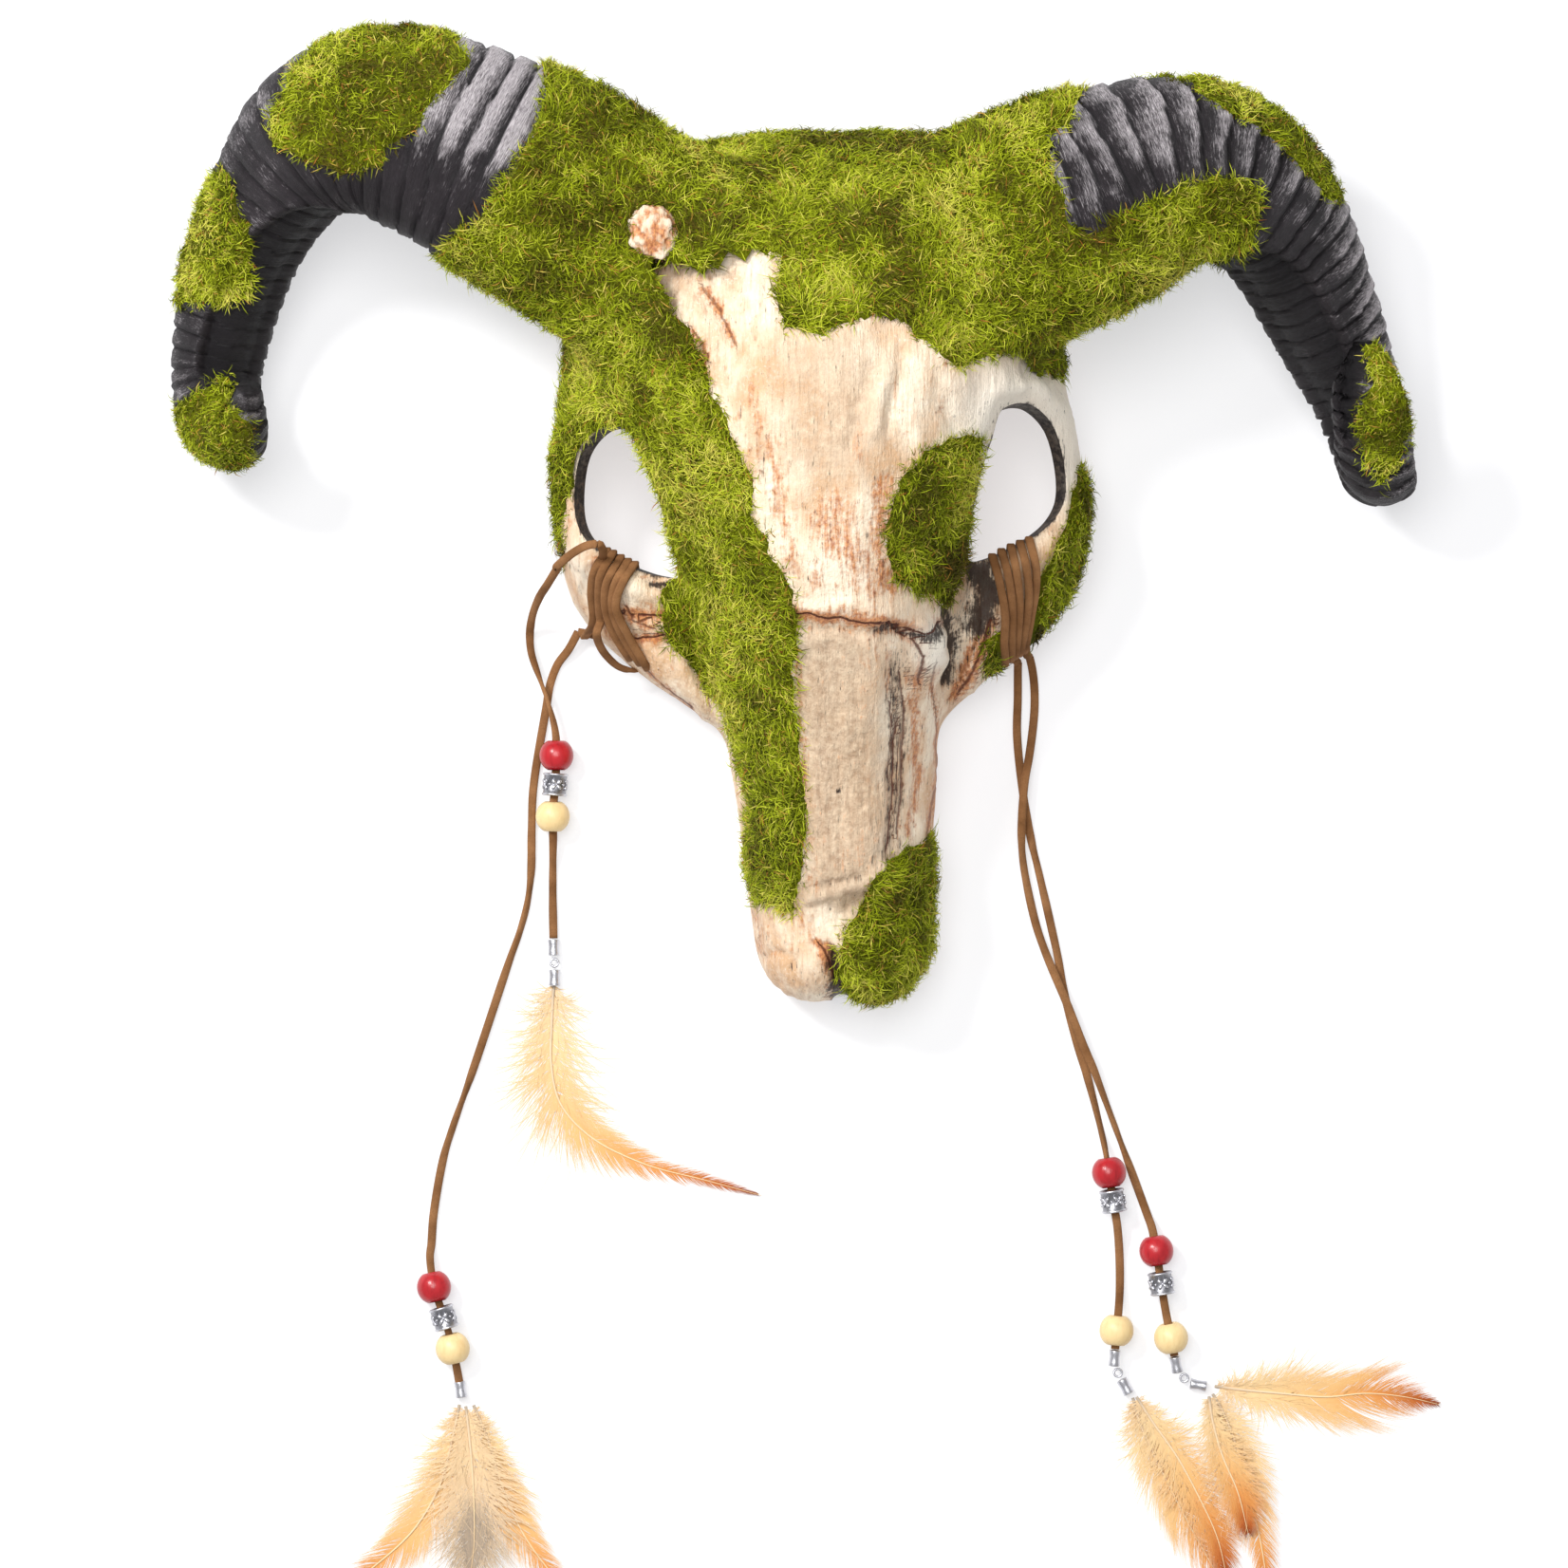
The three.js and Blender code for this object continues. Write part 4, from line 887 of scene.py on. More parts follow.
CRACKS = (
    Crack(((-12.5, -32.6), (-9.6, -34), (-5, -33.8), (-0.5, -35.6), (4, -35.2), (9.4, -36.6),
           (14, -36.4),
           (18.2, -38.3), (23, -39.3), (27.2, -41), (31.5, -37.5)), 1.0, 1.0, 2.4),
    Crack(((20, -40), (24, -42.6), (26, -47), (25.2, -54)), 0.8, 0.9, 1.6),
    Crack(((21, -52), (21.6, -62), (20.8, -74), (20.2, -86), (17.6, -98)), 0.7, 0.3, 1.2),
    Crack(((17.4, -60), (17.6, -70), (16.8, -82)), 0.7, 0.2, 1.0),
    Crack(((19.2, -66), (18.8, -80), (16.4, -94), (14, -103)), 0.8, 0.2, 1.0),
    Crack(((-30, 59), (-28.5, 57.4), (-24.6, 50), (-22.3, 43)), 0.5, 0.9, 1.0),
    Crack(((-33, 47), (-31, 44), (-29.6, 40)), 0.5, 0.9, 1.0),
    Crack(((-66, -25), (-60, -29), (-52, -30.6), (-45, -31.5)), 0.9, 0.9, 2.0),
    Crack(((-60, -36), (-52, -37.4), (-45, -37), (-41, -38.6)), 0.9, 0.9, 2.0),
    Crack(((-64, -32), (-56, -42), (-46, -52), (-38, -60)), 0.8, 0.7, 1.6),
    Crack(((-57, -28), (-55, -31.5), (-50, -34)), 0.6, 0.8, 1.6),
    Crack(((47, -38), (43, -48), (37, -58)), 0.8, 0.9, 1.8),
    Crack(((52, -32), (50, -42), (44, -52)), 0.6, 0.6, 1.6),
    Crack(((28, -50), (30, -64), (29, -80), (26, -98)), 0.5, 0.8, 1.4),
    Crack(((-8, -128), (-5, -134), (-2.4, -141)), 0.8, 1.0, 1.8),
)


class SkullForm:
    """The skull's surface as a height over its plan, u across and v along."""

    middle = (SKULL[0][0] + SKULL[-1][0]) / 2
    length = SKULL[-1][0] - SKULL[0][0]

    def station(self, v: Array, grow: float) -> dict[str, Array]:
        """The section's measures at v, grown outwards by some millimetres.

        Args:
            v: places along.
            grow: millimetres outwards, or inwards where negative.

        Returns:
            The section's measures by name.
        """
        stretched = self.middle + (v - self.middle) * self.length / (self.length + 2 * grow)
        tuck = HOLLOW_TUCK if grow < 0 else 0.0
        return {
            "half": table_value(SKULL, 1, stretched) + grow,
            "ridge": table_value(SKULL, 2, stretched) + grow,
            "cheek": table_value(SKULL, 3, stretched) + grow - tuck,
            "rim": np.maximum(0, table_value(SKULL, 4, stretched)),
            "nose": table_value(SKULL, 5, stretched) + grow - tuck,
        }

    def eye_distance(self, u: Array, v: Array) -> Array:
        """Distance outside the eye hole's middle ellipse, negative within it.

        Args:
            u: places across.
            v: places along.

        Returns:
            Millimetres to the ellipse.
        """
        du, dv = np.abs(u) - EYE_CENTRE[0], v - EYE_CENTRE[1]
        along = du * math.cos(EYE_TURN) + dv * math.sin(EYE_TURN)
        across = dv * math.cos(EYE_TURN) - du * math.sin(EYE_TURN)
        return (np.hypot(along / EYE_LONG, across / EYE_SHORT) - 1) * EYE_SHORT

    def height(self, u: Array, v: Array, grow: float = 0.0) -> Array:
        """Height of the surface.

        Args:
            u: places across.
            v: places along.
            grow: millimetres outwards, or inwards where negative.

        Returns:
            Heights in millimetres.
        """
        s = self.station(v, grow)
        nose = (s["ridge"] - s["rim"]) * dome(u / s["nose"], NOSE_POWER)
        cheek = (s["cheek"] - s["rim"]) * dome(u / s["half"], CHEEK_POWER)
        edge = dome(u / s["half"], CHEEK_POWER)
        window = smooth_step(v, CREVICE_FROM,
                             CREVICE_FROM + 8) * (1 - smooth_step(v, CREVICE_TO - 8, CREVICE_TO))
        crevice = CREVICE_DEPTH * window * bell(np.abs(u) - s["nose"] - 1.5, CREVICE_WIDTH)
        rim = 3.6 * smooth_step(np.abs(u), 44, 56) * bell(self.eye_distance(u, v) - 3.2, 4.2)
        mixed = np.maximum(BLEND - np.abs(nose - cheek), 0) / BLEND
        top = np.maximum(nose, cheek) + mixed * mixed * BLEND / 4
        return s["rim"] + top * np.minimum(1, edge * 3) - (crevice - rim) * edge

    def above_hollow(self, points: Array) -> Array:
        """Points with those in the mask's hollow raised into the wall above it.

        Args:
            points: places in the drawing.

        Returns:
            The points, raised where needed.
        """
        u, v = unturned(points[..., 0], points[..., 1])
        inside = (np.abs(u) < self.station(v, -WALL)["half"]) & (v > SKULL[0][0]
                                                                 + WALL) & (v < SKULL[-1][0] - WALL)
        roof = self.height(u, v, -WALL) + ROOF_SHARE * WALL
        raised = points.copy()
        raised[..., 2] = np.where(inside & (points[..., 2] < roof), roof, points[..., 2])
        return raised

    def buried(self, points: Array, by: float) -> Array:
        """Whether each point lies deeper than some millimetres under the skull's skin.

        Args:
            points: places in the drawing.
            by: millimetres under the skin.

        Returns:
            True for each point that lies deeper.
        """
        u, v = unturned(points[..., 0], points[..., 1])
        inside = (np.abs(u) < self.station(v, 0)["half"]) & (v < SKULL[-1][0])
        return inside & (points[..., 2] < self.height(u, v) - by)

    def relief(self, u: Array, v: Array) -> dict[str, Array]:
        """Worked detail: how far it stands out, its rust, black and grey, and the cracks' distance.

        Args:
            u: places across.
            v: places along.

        Returns:
            One grid of numbers to each name.
        """
        shape = np.shape(u)
        spots = np.stack([u, v, np.zeros_like(u)], axis=-1).reshape(-1, 3)
        out, rust, dark, grey = (np.zeros(shape) for _ in range(4))
        wander = layered_noise(spots * 0.16, 5).reshape(shape) * 1.6
        for carving in CARVINGS:
            distance = path_distance(u + wander * 0.6, v + wander, carving.path)
            out -= carving.depth * bell(distance, carving.width)
            wide = bell(distance, carving.width * carving.spread)
            rust = np.maximum(rust, carving.rust * wide)
            dark = np.maximum(dark, carving.dark * wide)
            grey = np.maximum(grey, carving.grey * wide)
        line, strength = np.full(shape, 9.0), np.zeros(shape)
        for crack in CRACKS:
            away, side = self._signed(u + wander * 0.25, v + wander * 0.4, crack.path)
            near = away < np.abs(line)
            line = np.where(near, away * side, line)
            strength = np.where(near, crack.strength * (1 - smooth_step(away, 1.4, 3.2)), strength)
            rust = np.maximum(rust, crack.rust * bell(away, crack.halo))
            out -= 0.5 * crack.strength * bell(away, 0.9)
        grain = layered_noise(spots * np.array([0.85, 0.07, 1]), 11).reshape(shape)
        lumps = layered_noise(spots * np.array([0.09, 0.05, 1]), 17).reshape(shape)
        pits = np.maximum(0, lattice_noise(spots * np.array([0.8, 0.5, 1]), 23).reshape(shape)
                          - 0.45)
        out += grain * 0.26 + lumps * 0.7 - pits * 0.9
        brow = bell(u - 4, 20) * smooth_step(v, -10, 10) * (1 - smooth_step(v, 36, 60))
        rust = np.maximum(rust, pits * 1.1 * smooth_step(np.abs(u), 4, 20))
        low_brow = (1 - smooth_step(np.abs(u), 46,
                                    54)) * (1 - smooth_step(v, 4,
                                                            24)) * (0.3 + 0.7
                                                                    * smooth_step(v, -34, -27))
        rust = np.maximum(rust, 0.75 * smooth_step(lumps, 0.05, 0.7) * low_brow)
        rust = np.maximum(rust, 0.55 * brow * smooth_step(lumps + pits, -0.1, 0.5)
                          * (1 - smooth_step(v, 14, 30)))
        edge = path_distance(np.abs(u), v, EYE_OUTLINE, closed=True)
        out -= 3.2 * (1 - smooth_step(edge, 0, 4.2)) ** 1.5
        out += 1.5 * bell(edge - 5.0, 3.0) * smooth_step(np.abs(u), 38, 50)
        dark = np.maximum(dark, 0.6 * bell(edge, 0.9))
        grey = np.clip(grey + 0.55 * brow, 0, 1)
        pale = smooth_step(u, 32, 44) * smooth_step(v, -18, 6) * bell(edge - 4, 13)
        pale = np.maximum(pale, bell(path_distance(u, v, ((28.6, -41), (28.4, -48))), 4.2))
        rust, grey = rust * (1 - 0.7 * pale), grey * (1 - pale)
        return {"out": out, "pale": pale, "rust": rust, "dark": dark, "grey": grey, "line": line,
                "crack": strength, "edge": edge}

    @staticmethod
    def _signed(u: Array, v: Array, path: Sequence[tuple[float, float]]) -> tuple[Array, Array]:
        """Distance to a run of lines, and the side of the nearest line as 1 or -1.

        Args:
            u: places across.
            v: places along.
            path: the corners of the run.

        Returns:
            The distances and the sides.
        """
        best, side = np.full(np.shape(u), np.inf), np.ones(np.shape(u))
        for (ax, ay), (bx, by) in zip(path, path[1:]):
            dx, dy = bx - ax, by - ay
            t = np.clip(((u - ax) * dx + (v - ay) * dy) / (dx * dx + dy * dy), 0, 1)
            away = np.hypot(u - ax - t * dx, v - ay - t * dy)
            turn = np.where((u - ax) * dy - (v - ay) * dx > 0, 1.0, -1.0)
            side = np.where(away < best, turn, side)
            best = np.minimum(best, away)
        return best, side


@dataclass
class SkullFace:
    """The hollow cast face with its two eye holes."""

    form: SkullForm
    finishes: Finishes
    rows: int = 268
    columns: int = 179
    eye_wall: tuple = (27, 71.2)
    surface: "Surface | None" = field(default=None, init=False)

    def _plan(self) -> tuple[Array, Array]:
        """Grid of places, closer together towards nose tip and crown.

        Returns:
            The grid's u and v.
        """
        t = np.linspace(0, 1, self.rows)
        eased = t - 0.35 * np.sin(2 * math.pi * t) / (2 * math.pi)
        v = (SKULL[0][0] + self.form.length * eased)[:, None] * np.ones(self.columns)
        half = self.form.station(v, 0)["half"]
        u = -half * np.cos(np.pi * np.arange(self.columns) / (self.columns - 1))
        return u, v

    def _open_eyes(self, u: Array, v: Array, faces: Array) -> tuple[Array, Array, Array]:
        """Takes the faces within the eye holes out and draws the holes' edges on their outline.

        Args:
            u: the grid's places across.
            v: the grid's places along.
            faces: the grid's faces.

        Returns:
            The moved places and the faces that stay.
        """
        outline = smooth_path(np.array(EYE_OUTLINE, float), 12, closed=True)
        flat_u, flat_v = u.ravel().copy(), v.ravel().copy()
        centre_u, centre_v = flat_u[faces].mean(1), flat_v[faces].mean(1)
        gone = is_inside(np.abs(centre_u), centre_v, [tuple(p) for p in outline])
        touched = np.intersect1d(np.unique(faces[gone]), np.unique(faces[~gone]))
        for k in touched:
            side = math.copysign(1, flat_u[k])
            offsets = np.hypot(outline[:, 0] - abs(flat_u[k]), outline[:, 1] - flat_v[k])
            nearest = outline[np.argmin(offsets)]
            flat_u[k], flat_v[k] = side * nearest[0], nearest[1]
        return flat_u.reshape(u.shape), flat_v.reshape(v.shape), faces[~gone]

    def build(self) -> bpy.types.Object:
        """Makes the shell: the worked outside, the plain hollow and the edges between.

        Returns:
            The finished shell.
        """
        u, v = self._plan()
        u, v, faces = self._open_eyes(u, v, grid_faces(self.rows, self.columns, False))
        notch_u, notch_v, notch_radius = LIP_NOTCH
        away = np.hypot(u - notch_u, v - notch_v)
        push = np.where(away < notch_radius, notch_radius / np.maximum(away, 0.2), 1)
        u, v = notch_u + (u - notch_u) * push, notch_v + (v - notch_v) * push
        outer = self._points(u, v, 0.0)
        detail = self.form.relief(u, v)
        steady = smooth_step(outer[..., 2], 4, 16)[..., None]
        normals = grid_normals(outer, False)
        sideways = smooth_step(detail.pop("edge"), 0.5, 6.0)
        ways = normals * np.stack([sideways, sideways, np.ones_like(sideways)], axis=-1)
        worked = outer + ways * (detail["out"][..., None] * steady)
        inner_u = u * (self.form.station(v, 0)["half"] - WALL) / self.form.station(v, 0)["half"]
        inner_v = self.form.middle + (v - self.form.middle) * (self.form.length
                                                               - 2 * WALL) / self.form.length
        inner = self._points(inner_u, inner_v, -WALL)
        self.surface = Surface(worked, normals, faces)
        count = self.rows * self.columns
        edges = self._open_edges(faces)
        walls = np.stack([edges[:, 1], edges[:, 0], edges[:, 0] + count, edges[:, 1] + count],
                         axis=1)
        all_faces = np.concatenate([faces, faces[:, ::-1] + count, walls])
        all_points = np.concatenate([worked.reshape(-1, 3), inner.reshape(-1, 3)])
        hollow = {"rust": 0.22, "dark": 0.22, "grey": 0.6, "line": 9.0, "crack": 0.0, "pale": 0.0}
        values = {key: np.concatenate([detail[key].ravel(), np.full(count, plain)]) for key,
                  plain in hollow.items()}
        middle_u, middle_v = np.abs(u.ravel()[edges].mean(axis=1)), v.ravel()[edges].mean(axis=1)
        radius, side = self.eye_wall
        by_eye = (np.hypot(middle_u - EYE_CENTRE[0],
                           middle_v - EYE_CENTRE[1]) < radius) & (middle_u < side)
        wall = np.concatenate([np.zeros(2 * len(faces)), np.where(by_eye, 1.0, 0.2)])
        flat = np.concatenate([np.zeros(2 * len(faces)), np.ones(len(walls))])
        piece = mesh_object("skull_face_cast", to_frame(all_points), all_faces, self.finishes.bone,
                            ["skull_face"], values, {"wall": wall, "flat": flat})
        tidy_loose(piece.data)
        return piece

    def _points(self, u: Array, v: Array, grow: float) -> Array:
        """Points of the surface in the drawing's millimetres, its side and end rows on the rim.

        Args:
            u: places across.
            v: places along.
            grow: millimetres outwards.

        Returns:
            The grid's points.
        """
        height = self.form.height(u, v, grow)
        rim = self.form.station(v, grow)["rim"]
        height[:, 0], height[:, -1] = rim[:, 0], rim[:, -1]
        height[0], height[-1] = rim[0], rim[-1]
        x, y = turned(u, v)
        return np.stack([x, y, height], axis=-1)

    @staticmethod
    def _open_edges(faces: Array) -> Array:
        """Edges used by one face only, in that face's direction.

        Args:
            faces: all the faces.

        Returns:
            Two corner numbers to each edge.
        """
        pairs = np.concatenate([faces[:, [0, 1]], faces[:, [1, 2]], faces[:, [2, 3]],
                                faces[:, [3, 0]]])
        keys = np.sort(pairs, axis=1)
        code = keys[:, 0].astype(np.int64) * (keys.max() + 1) + keys[:, 1]
        _, first, counts = np.unique(code, return_index=True, return_counts=True)
        return pairs[first[counts == 1]]


def tidy_loose(mesh: bpy.types.Mesh) -> None:
    """Leaves points that no face uses where they are, out of sight inside the form.

    Args:
        mesh: the mesh to go through.
    """
    used = np.zeros(len(mesh.loops), np.int32)
    mesh.loops.foreach_get("vertex_index", used)
    loose = np.setdiff1d(np.arange(len(mesh.vertices)), used)
    anchor = mesh.vertices[int(used[0])].co.copy()
    for k in loose:
        mesh.vertices[int(k)].co = anchor


@dataclass(frozen=True)
class HornLook:
    """How one horn is worked: inner side, sharp edge of the upper face, silver and tip, with
    painted shade in the tip's carved hollows.
    """

    inner: float
    edge: tuple
    silver: tuple
    tip_carvings: tuple


LEFT_LOOK = HornLook(
    -1.0,
    ((0.0, 1.2), (0.40, 1.15), (0.5, 0.72), (0.6, 0.42), (0.7, 0.28), (0.78, 0.2), (0.86, 1.2),
     (1.0, 1.2)),
    ((0.0, 1.2), (0.12, 1.9), (0.24, 1.7), (0.3, 0.8), (0.45, 0.5), (0.6, 0.5), (0.75, 0.8),
     (1.0, 0.5)),
    (
        Carving(((-168.5, 33), (-170.5, 26), (-170.2, 19)), 2.2, 3.2, 0.0, 1.0),
        Carving(((-166, 36), (-164, 30), (-163.5, 22), (-165, 14)), 1.5, -1.6),
    ),
)
RIGHT_LOOK = HornLook(
    1.0,
    ((0.0, 1.2), (0.3, 1.15), (0.42, 0.66), (0.52, 0.45), (0.62, 0.4), (0.74, 0.46), (0.8, 0.5),
     (0.86, 1.2), (1.0, 1.2)),
    ((0.0, 0.7), (0.1, 0.85), (0.3, 1.0), (0.45, 1.35), (0.6, 1.6), (0.75, 1.4), (0.82, 0.8),
     (1.0, 0.6)),
    (
        Carving(((154, 44), (151.2, 36), (150.4, 27), (152, 18)), 2.8, 5.6, 0.0, 1.0),
        Carving(((151.8, 48), (147, 39), (145.2, 29), (145.6, 18)), 1.5, -3.0),
        Carving(((147.5, 14), (152, 9.5), (157, 5)), 1.0, 1.3, 0.0, 0.7),
        Carving(((149, 18.5), (153, 14), (158, 10)), 1.0, 1.3, 0.0, 0.7),
        Carving(((146.6, 9), (150.5, 4.5), (155, 0.5)), 1.0, 1.3, 0.0, 0.7),
    ),
)


@dataclass
class Horn:
    """A ringed horn swept along its centre line."""

    name: str
    rows: Array
    finishes: Finishes
    look: HornLook
    form: SkullForm
    around: int = 112
    step: float = 0.8
    surface: "Surface | None" = field(default=None, init=False)
    share: "Array | None" = field(default=None, init=False)

    def _frames(self) -> tuple[Array, Array, Array, Array, Array]:
        """Evenly spaced centre points with their side and up ways, and both half widths.

        Returns:
            Distances along, centre points, ways, half widths and half heights.
        """
        per_side = 40
        fine = smooth_path(self.rows[:, :3], per_side)
        knots = np.linspace(0, 1, len(fine))
        run = run_along(fine)
        steps = np.append(np.arange(0, run[-1], self.step), run[-1])
        centres = np.stack([np.interp(steps, run, fine[:, k]) for k in range(3)], axis=1)
        t = np.interp(steps, run, knots)
        tangents = unit(np.gradient(centres, axis=0))
        table = np.column_stack([np.linspace(0, 1, len(self.rows)), self.rows[:, 3:]])
        across, high = table_value(table, 1, t), table_value(table, 2, t)
        side = np.cross(tangents[0], [0, 0, 1])
        sides = []
        for tangent in tangents:
            side = unit(side - tangent * np.dot(side, tangent))
            sides.append(side)
        sides = np.array(sides)
        return steps, centres, np.stack([sides, np.cross(sides, tangents)], axis=1), across, high

    def _ribs(self, steps: Array, angles: Array, inner: Array) -> tuple[Array, Array, Array]:
        """Growth rings that rise towards the tip and drop into a groove.

        Args:
            steps: distance along the horn, to each point.
            angles: angle round the section, to each point.
            inner: how far each point lies on the flat inner face.

        Returns:
            Each point's lift, its depth in a groove, and how near it is to a ring's crest.
        """
        share = steps / steps[-1, 0]
        spots = np.stack([steps * 0.03, np.cos(angles) * 1.4, np.sin(angles) * 1.4],
                         axis=-1).reshape(-1, 3)
        wander = layered_noise(spots, 41 + len(self.name)).reshape(steps.shape)
        pitch = RIB_PITCH[0] + (RIB_PITCH[1] - RIB_PITCH[0]) * share
        phase = np.cumsum(np.gradient(steps[:, 0]) / pitch[:, 0])[:, None] + wander * 0.26
        part = phase - np.floor(phase)
        number = np.floor(phase)
        own = np.stack([number * 7.3, angles * 0.6, number * 1.7], axis=-1).reshape(-1, 3)
        strength = 1 + 0.55 * lattice_noise(own, 3).reshape(steps.shape)
        rise = 0.55 * smooth_step(part, 0, 0.2) + 0.45 * part
        profile = rise * (1 - smooth_step(part, 0.9, 1.0))
        groove = 1 - smooth_step(np.minimum(part, (1 - part) * 1.6), 0.0, 0.13)
        depth = (RIB_DEPTH[0] + (RIB_DEPTH[1] - RIB_DEPTH[0]) * share) * (1 - 0.55 * inner)
        streaks = layered_noise(np.stack([steps * 1.9, angles * 1.3, angles * 0],
                                         axis=-1).reshape(-1, 3), 51)
        streaks = streaks.reshape(steps.shape)
        lift = depth * strength * (profile - 0.8) + streaks * 0.22 - groove * 0.35
        return lift, groove, smooth_step(part, 0.2, 0.8)

    def build(self) -> bpy.types.Object:
        """Makes the ribbed horn with its ends closed.

        Returns:
            The finished horn.
        """
        steps, centres, ways, across, high = self._frames()
        angle = 2 * np.pi * np.arange(self.around) / self.around
        along, round_it = np.meshgrid(steps, angle, indexing="ij")
        share = along / steps[-1]
        lateral = np.cos(round_it) * self.look.inner
        upper = np.sin(round_it)
        edge_at = np.interp(share, *np.array(self.look.edge).T)
        face = smooth_step(upper, -0.45, -0.05)
        inner = smooth_step(lateral - edge_at, -0.01, 0.09) * face
        lift, groove, crest = self._ribs(along, round_it, inner)
        lift = lift * (1 - smooth_step(share, 0.95, 1.0) * 0.7)
        lift -= 2.6 * inner
        lift += 0.9 * bell(lateral - edge_at + 0.07, 0.07) * face
        bulge = 1 + 0.05 * np.cos(3 * round_it - np.pi / 2)
        a = (across[:, None] * bulge + lift) * np.cos(round_it)
        b = (high[:, None] * bulge + lift) * np.sin(round_it)
        points = centres[:, None] + a[...,
                                      None] * ways[:, None, 0] + b[..., None] * ways[:, None, 1]
        normals = grid_normals(points, True)
        flip = np.sign(np.sum(normals * (points - centres[:, None])))
        normals = normals * flip
        points, tip_hollow_shade = self._work_tip(points, normals, share)
        points = self.form.above_hollow(points)
        faces = grid_faces(len(steps), self.around, True)
        if flip < 0:
            faces = faces[:, ::-1]
        self.surface = Surface(points, normals, faces)
        self.share = share
        ends = self.form.above_hollow(np.stack([centres[0],
                                                centres[-1] + (centres[-1] - centres[-2])]))
        all_points = np.concatenate([points.reshape(-1, 3), ends])
        # Painted light: the dry-brushed silver is kept to the faces turned up and out towards the
        # light, so it is part real silver paint and part painted highlight.
        lit_side = np.clip(0.55 * normals[..., 2] - 0.5 * lateral + 0.3 * normals[..., 1] + 0.12,
                             0, 1)
        lit_side = smooth_step(lit_side, 0.3, 0.86)
        silver = np.interp(share,
                           *np.array(self.look.silver).T) * lit_side * (1
                                                                          - groove) * (0.45 + 0.65
                                                                                       * crest)
        silver = silver * (1 - 0.8 * inner) * (1 - tip_hollow_shade) + 0.25 * bell(lateral - edge_at
                                                                              + 0.1, 0.07) * face
        # Painted shade: dark in the ring grooves, on faces turned down, on the curl's inner face
        # and in the tip's hollows.
        shade = 0.75 * groove
        shade = np.maximum(shade, 0.8 * smooth_step(-normals[..., 2], -0.1, 0.4))
        shade = np.maximum(np.maximum(shade, 0.82 * inner), tip_hollow_shade)
        values = {"silver": np.append(np.clip(silver, 0, 1.6).ravel(), [0, 0]),
                  "shade": np.append(shade.ravel(), [1, 1])}
        place = np.stack([np.abs(round_it - np.pi) / np.pi * 2, along / 100],
                         axis=-1).reshape(-1, 2)
        uv = ("along", np.concatenate([place, np.zeros((2, 2))]))
        return mesh_object(self.name + "_cast", to_frame(all_points),
                           np.concatenate([faces, self._caps(len(steps), flip)]),
                           self.finishes.horn, [self.name], values, None, uv)

    def _work_tip(self, points: Array, normals: Array, share: Array) -> tuple[Array, Array]:
        """Hollows and rolled edges that show from above on the curled tip, darkened in the hollows
        as painted shade.

        Args:
            points: the horn's points.
            normals: the way out at each.
            share: the share of the horn's length at each.

        Returns:
            The worked points and the painted shade at each.
        """
        seen = smooth_step(normals[..., 2], -0.1, 0.35) * smooth_step(share, 0.8, 0.86)
        out, dark = np.zeros(share.shape), np.zeros(share.shape)
        for carving in self.look.tip_carvings:
            away = path_distance(points[..., 0], points[..., 1], carving.path)
            out -= carving.depth * bell(away, carving.width)
            # Painted shade in the tip's carved hollows.
            dark = np.maximum(dark, carving.dark * bell(away, carving.width))
        worked = points + np.array([0, 0, 1.0]) * (out * seen)[..., None]
        return worked, dark * seen

    def _caps(self, rows: int, flip: float) -> Array:
        """Fans that close both ends with four-cornered faces.

        Args:
            rows: rings along the horn.
            flip: negative where the faces turn round.

        Returns:
            Corner numbers of the caps.
        """
        i = np.arange(0, self.around, 2)
        n = self.around
        first, last = rows * n, rows * n + 1
        start = np.stack([np.full(len(i), first), (i + 2) % n, (i + 1) % n, i], axis=1)
        row = (rows - 1) * n
        end = np.stack([np.full(len(i), last), row + i, row + (i + 1) % n, row + (i + 2) % n],
                       axis=1)
        caps = np.concatenate([start, end])
        return caps if flip > 0 else caps[:, ::-1]


@dataclass(frozen=True)
class MossPatch:
    """One mat of moss: its node, outline in plan, lowest height and the surface it grows on."""

    node: str
    outline: tuple
    lowest: float
    surfaces: tuple
    reach: tuple = (0.0, 1.0)
    facing: float = -0.25
    length: float = 1.0


# Each mat, with the number of meshes that its fibres are divided into
MATS = (
    (MossPatch("moss_mat_head", MOSS_HEAD, 12,
               ("skull", "left", "right", "left_root", "right_root"),
               (0.0, 0.55), -0.6), 5),
    (MossPatch("moss_mat_beside_right_eye", MOSS_BESIDE_EYE, 12, ("skull",)), 1),
    (MossPatch("moss_mat_right_cheek", MOSS_RIGHT_CHEEK, 12, ("skull",), (0, 1), -0.6), 1),
    (MossPatch("moss_mat_muzzle_tip", MOSS_MUZZLE, 12, ("skull",), (0, 1), -0.6), 1),
    (MossPatch("moss_mat_left_horn_bow", MOSS_LEFT_BOW, 42, ("left",), (0.15, 0.62), length=0.78),
     1),
    (MossPatch("moss_mat_left_horn_side", MOSS_LEFT_SIDE, 14, ("left",), (0.5, 0.82), length=0.78),
     1),
    (MossPatch("moss_mat_left_horn_tip", MOSS_LEFT_TIP, 15, ("left",), (0.76, 1.0), length=0.7), 1),
    (MossPatch("moss_mat_right_horn_top", MOSS_RIGHT_TOP, 40, ("right",), (0.15, 0.62),
               length=0.78), 1),
    (MossPatch("moss_mat_right_horn_tip", MOSS_RIGHT_TIP, 24, ("right",), (0.8, 1.0), length=0.7),
     1),
)


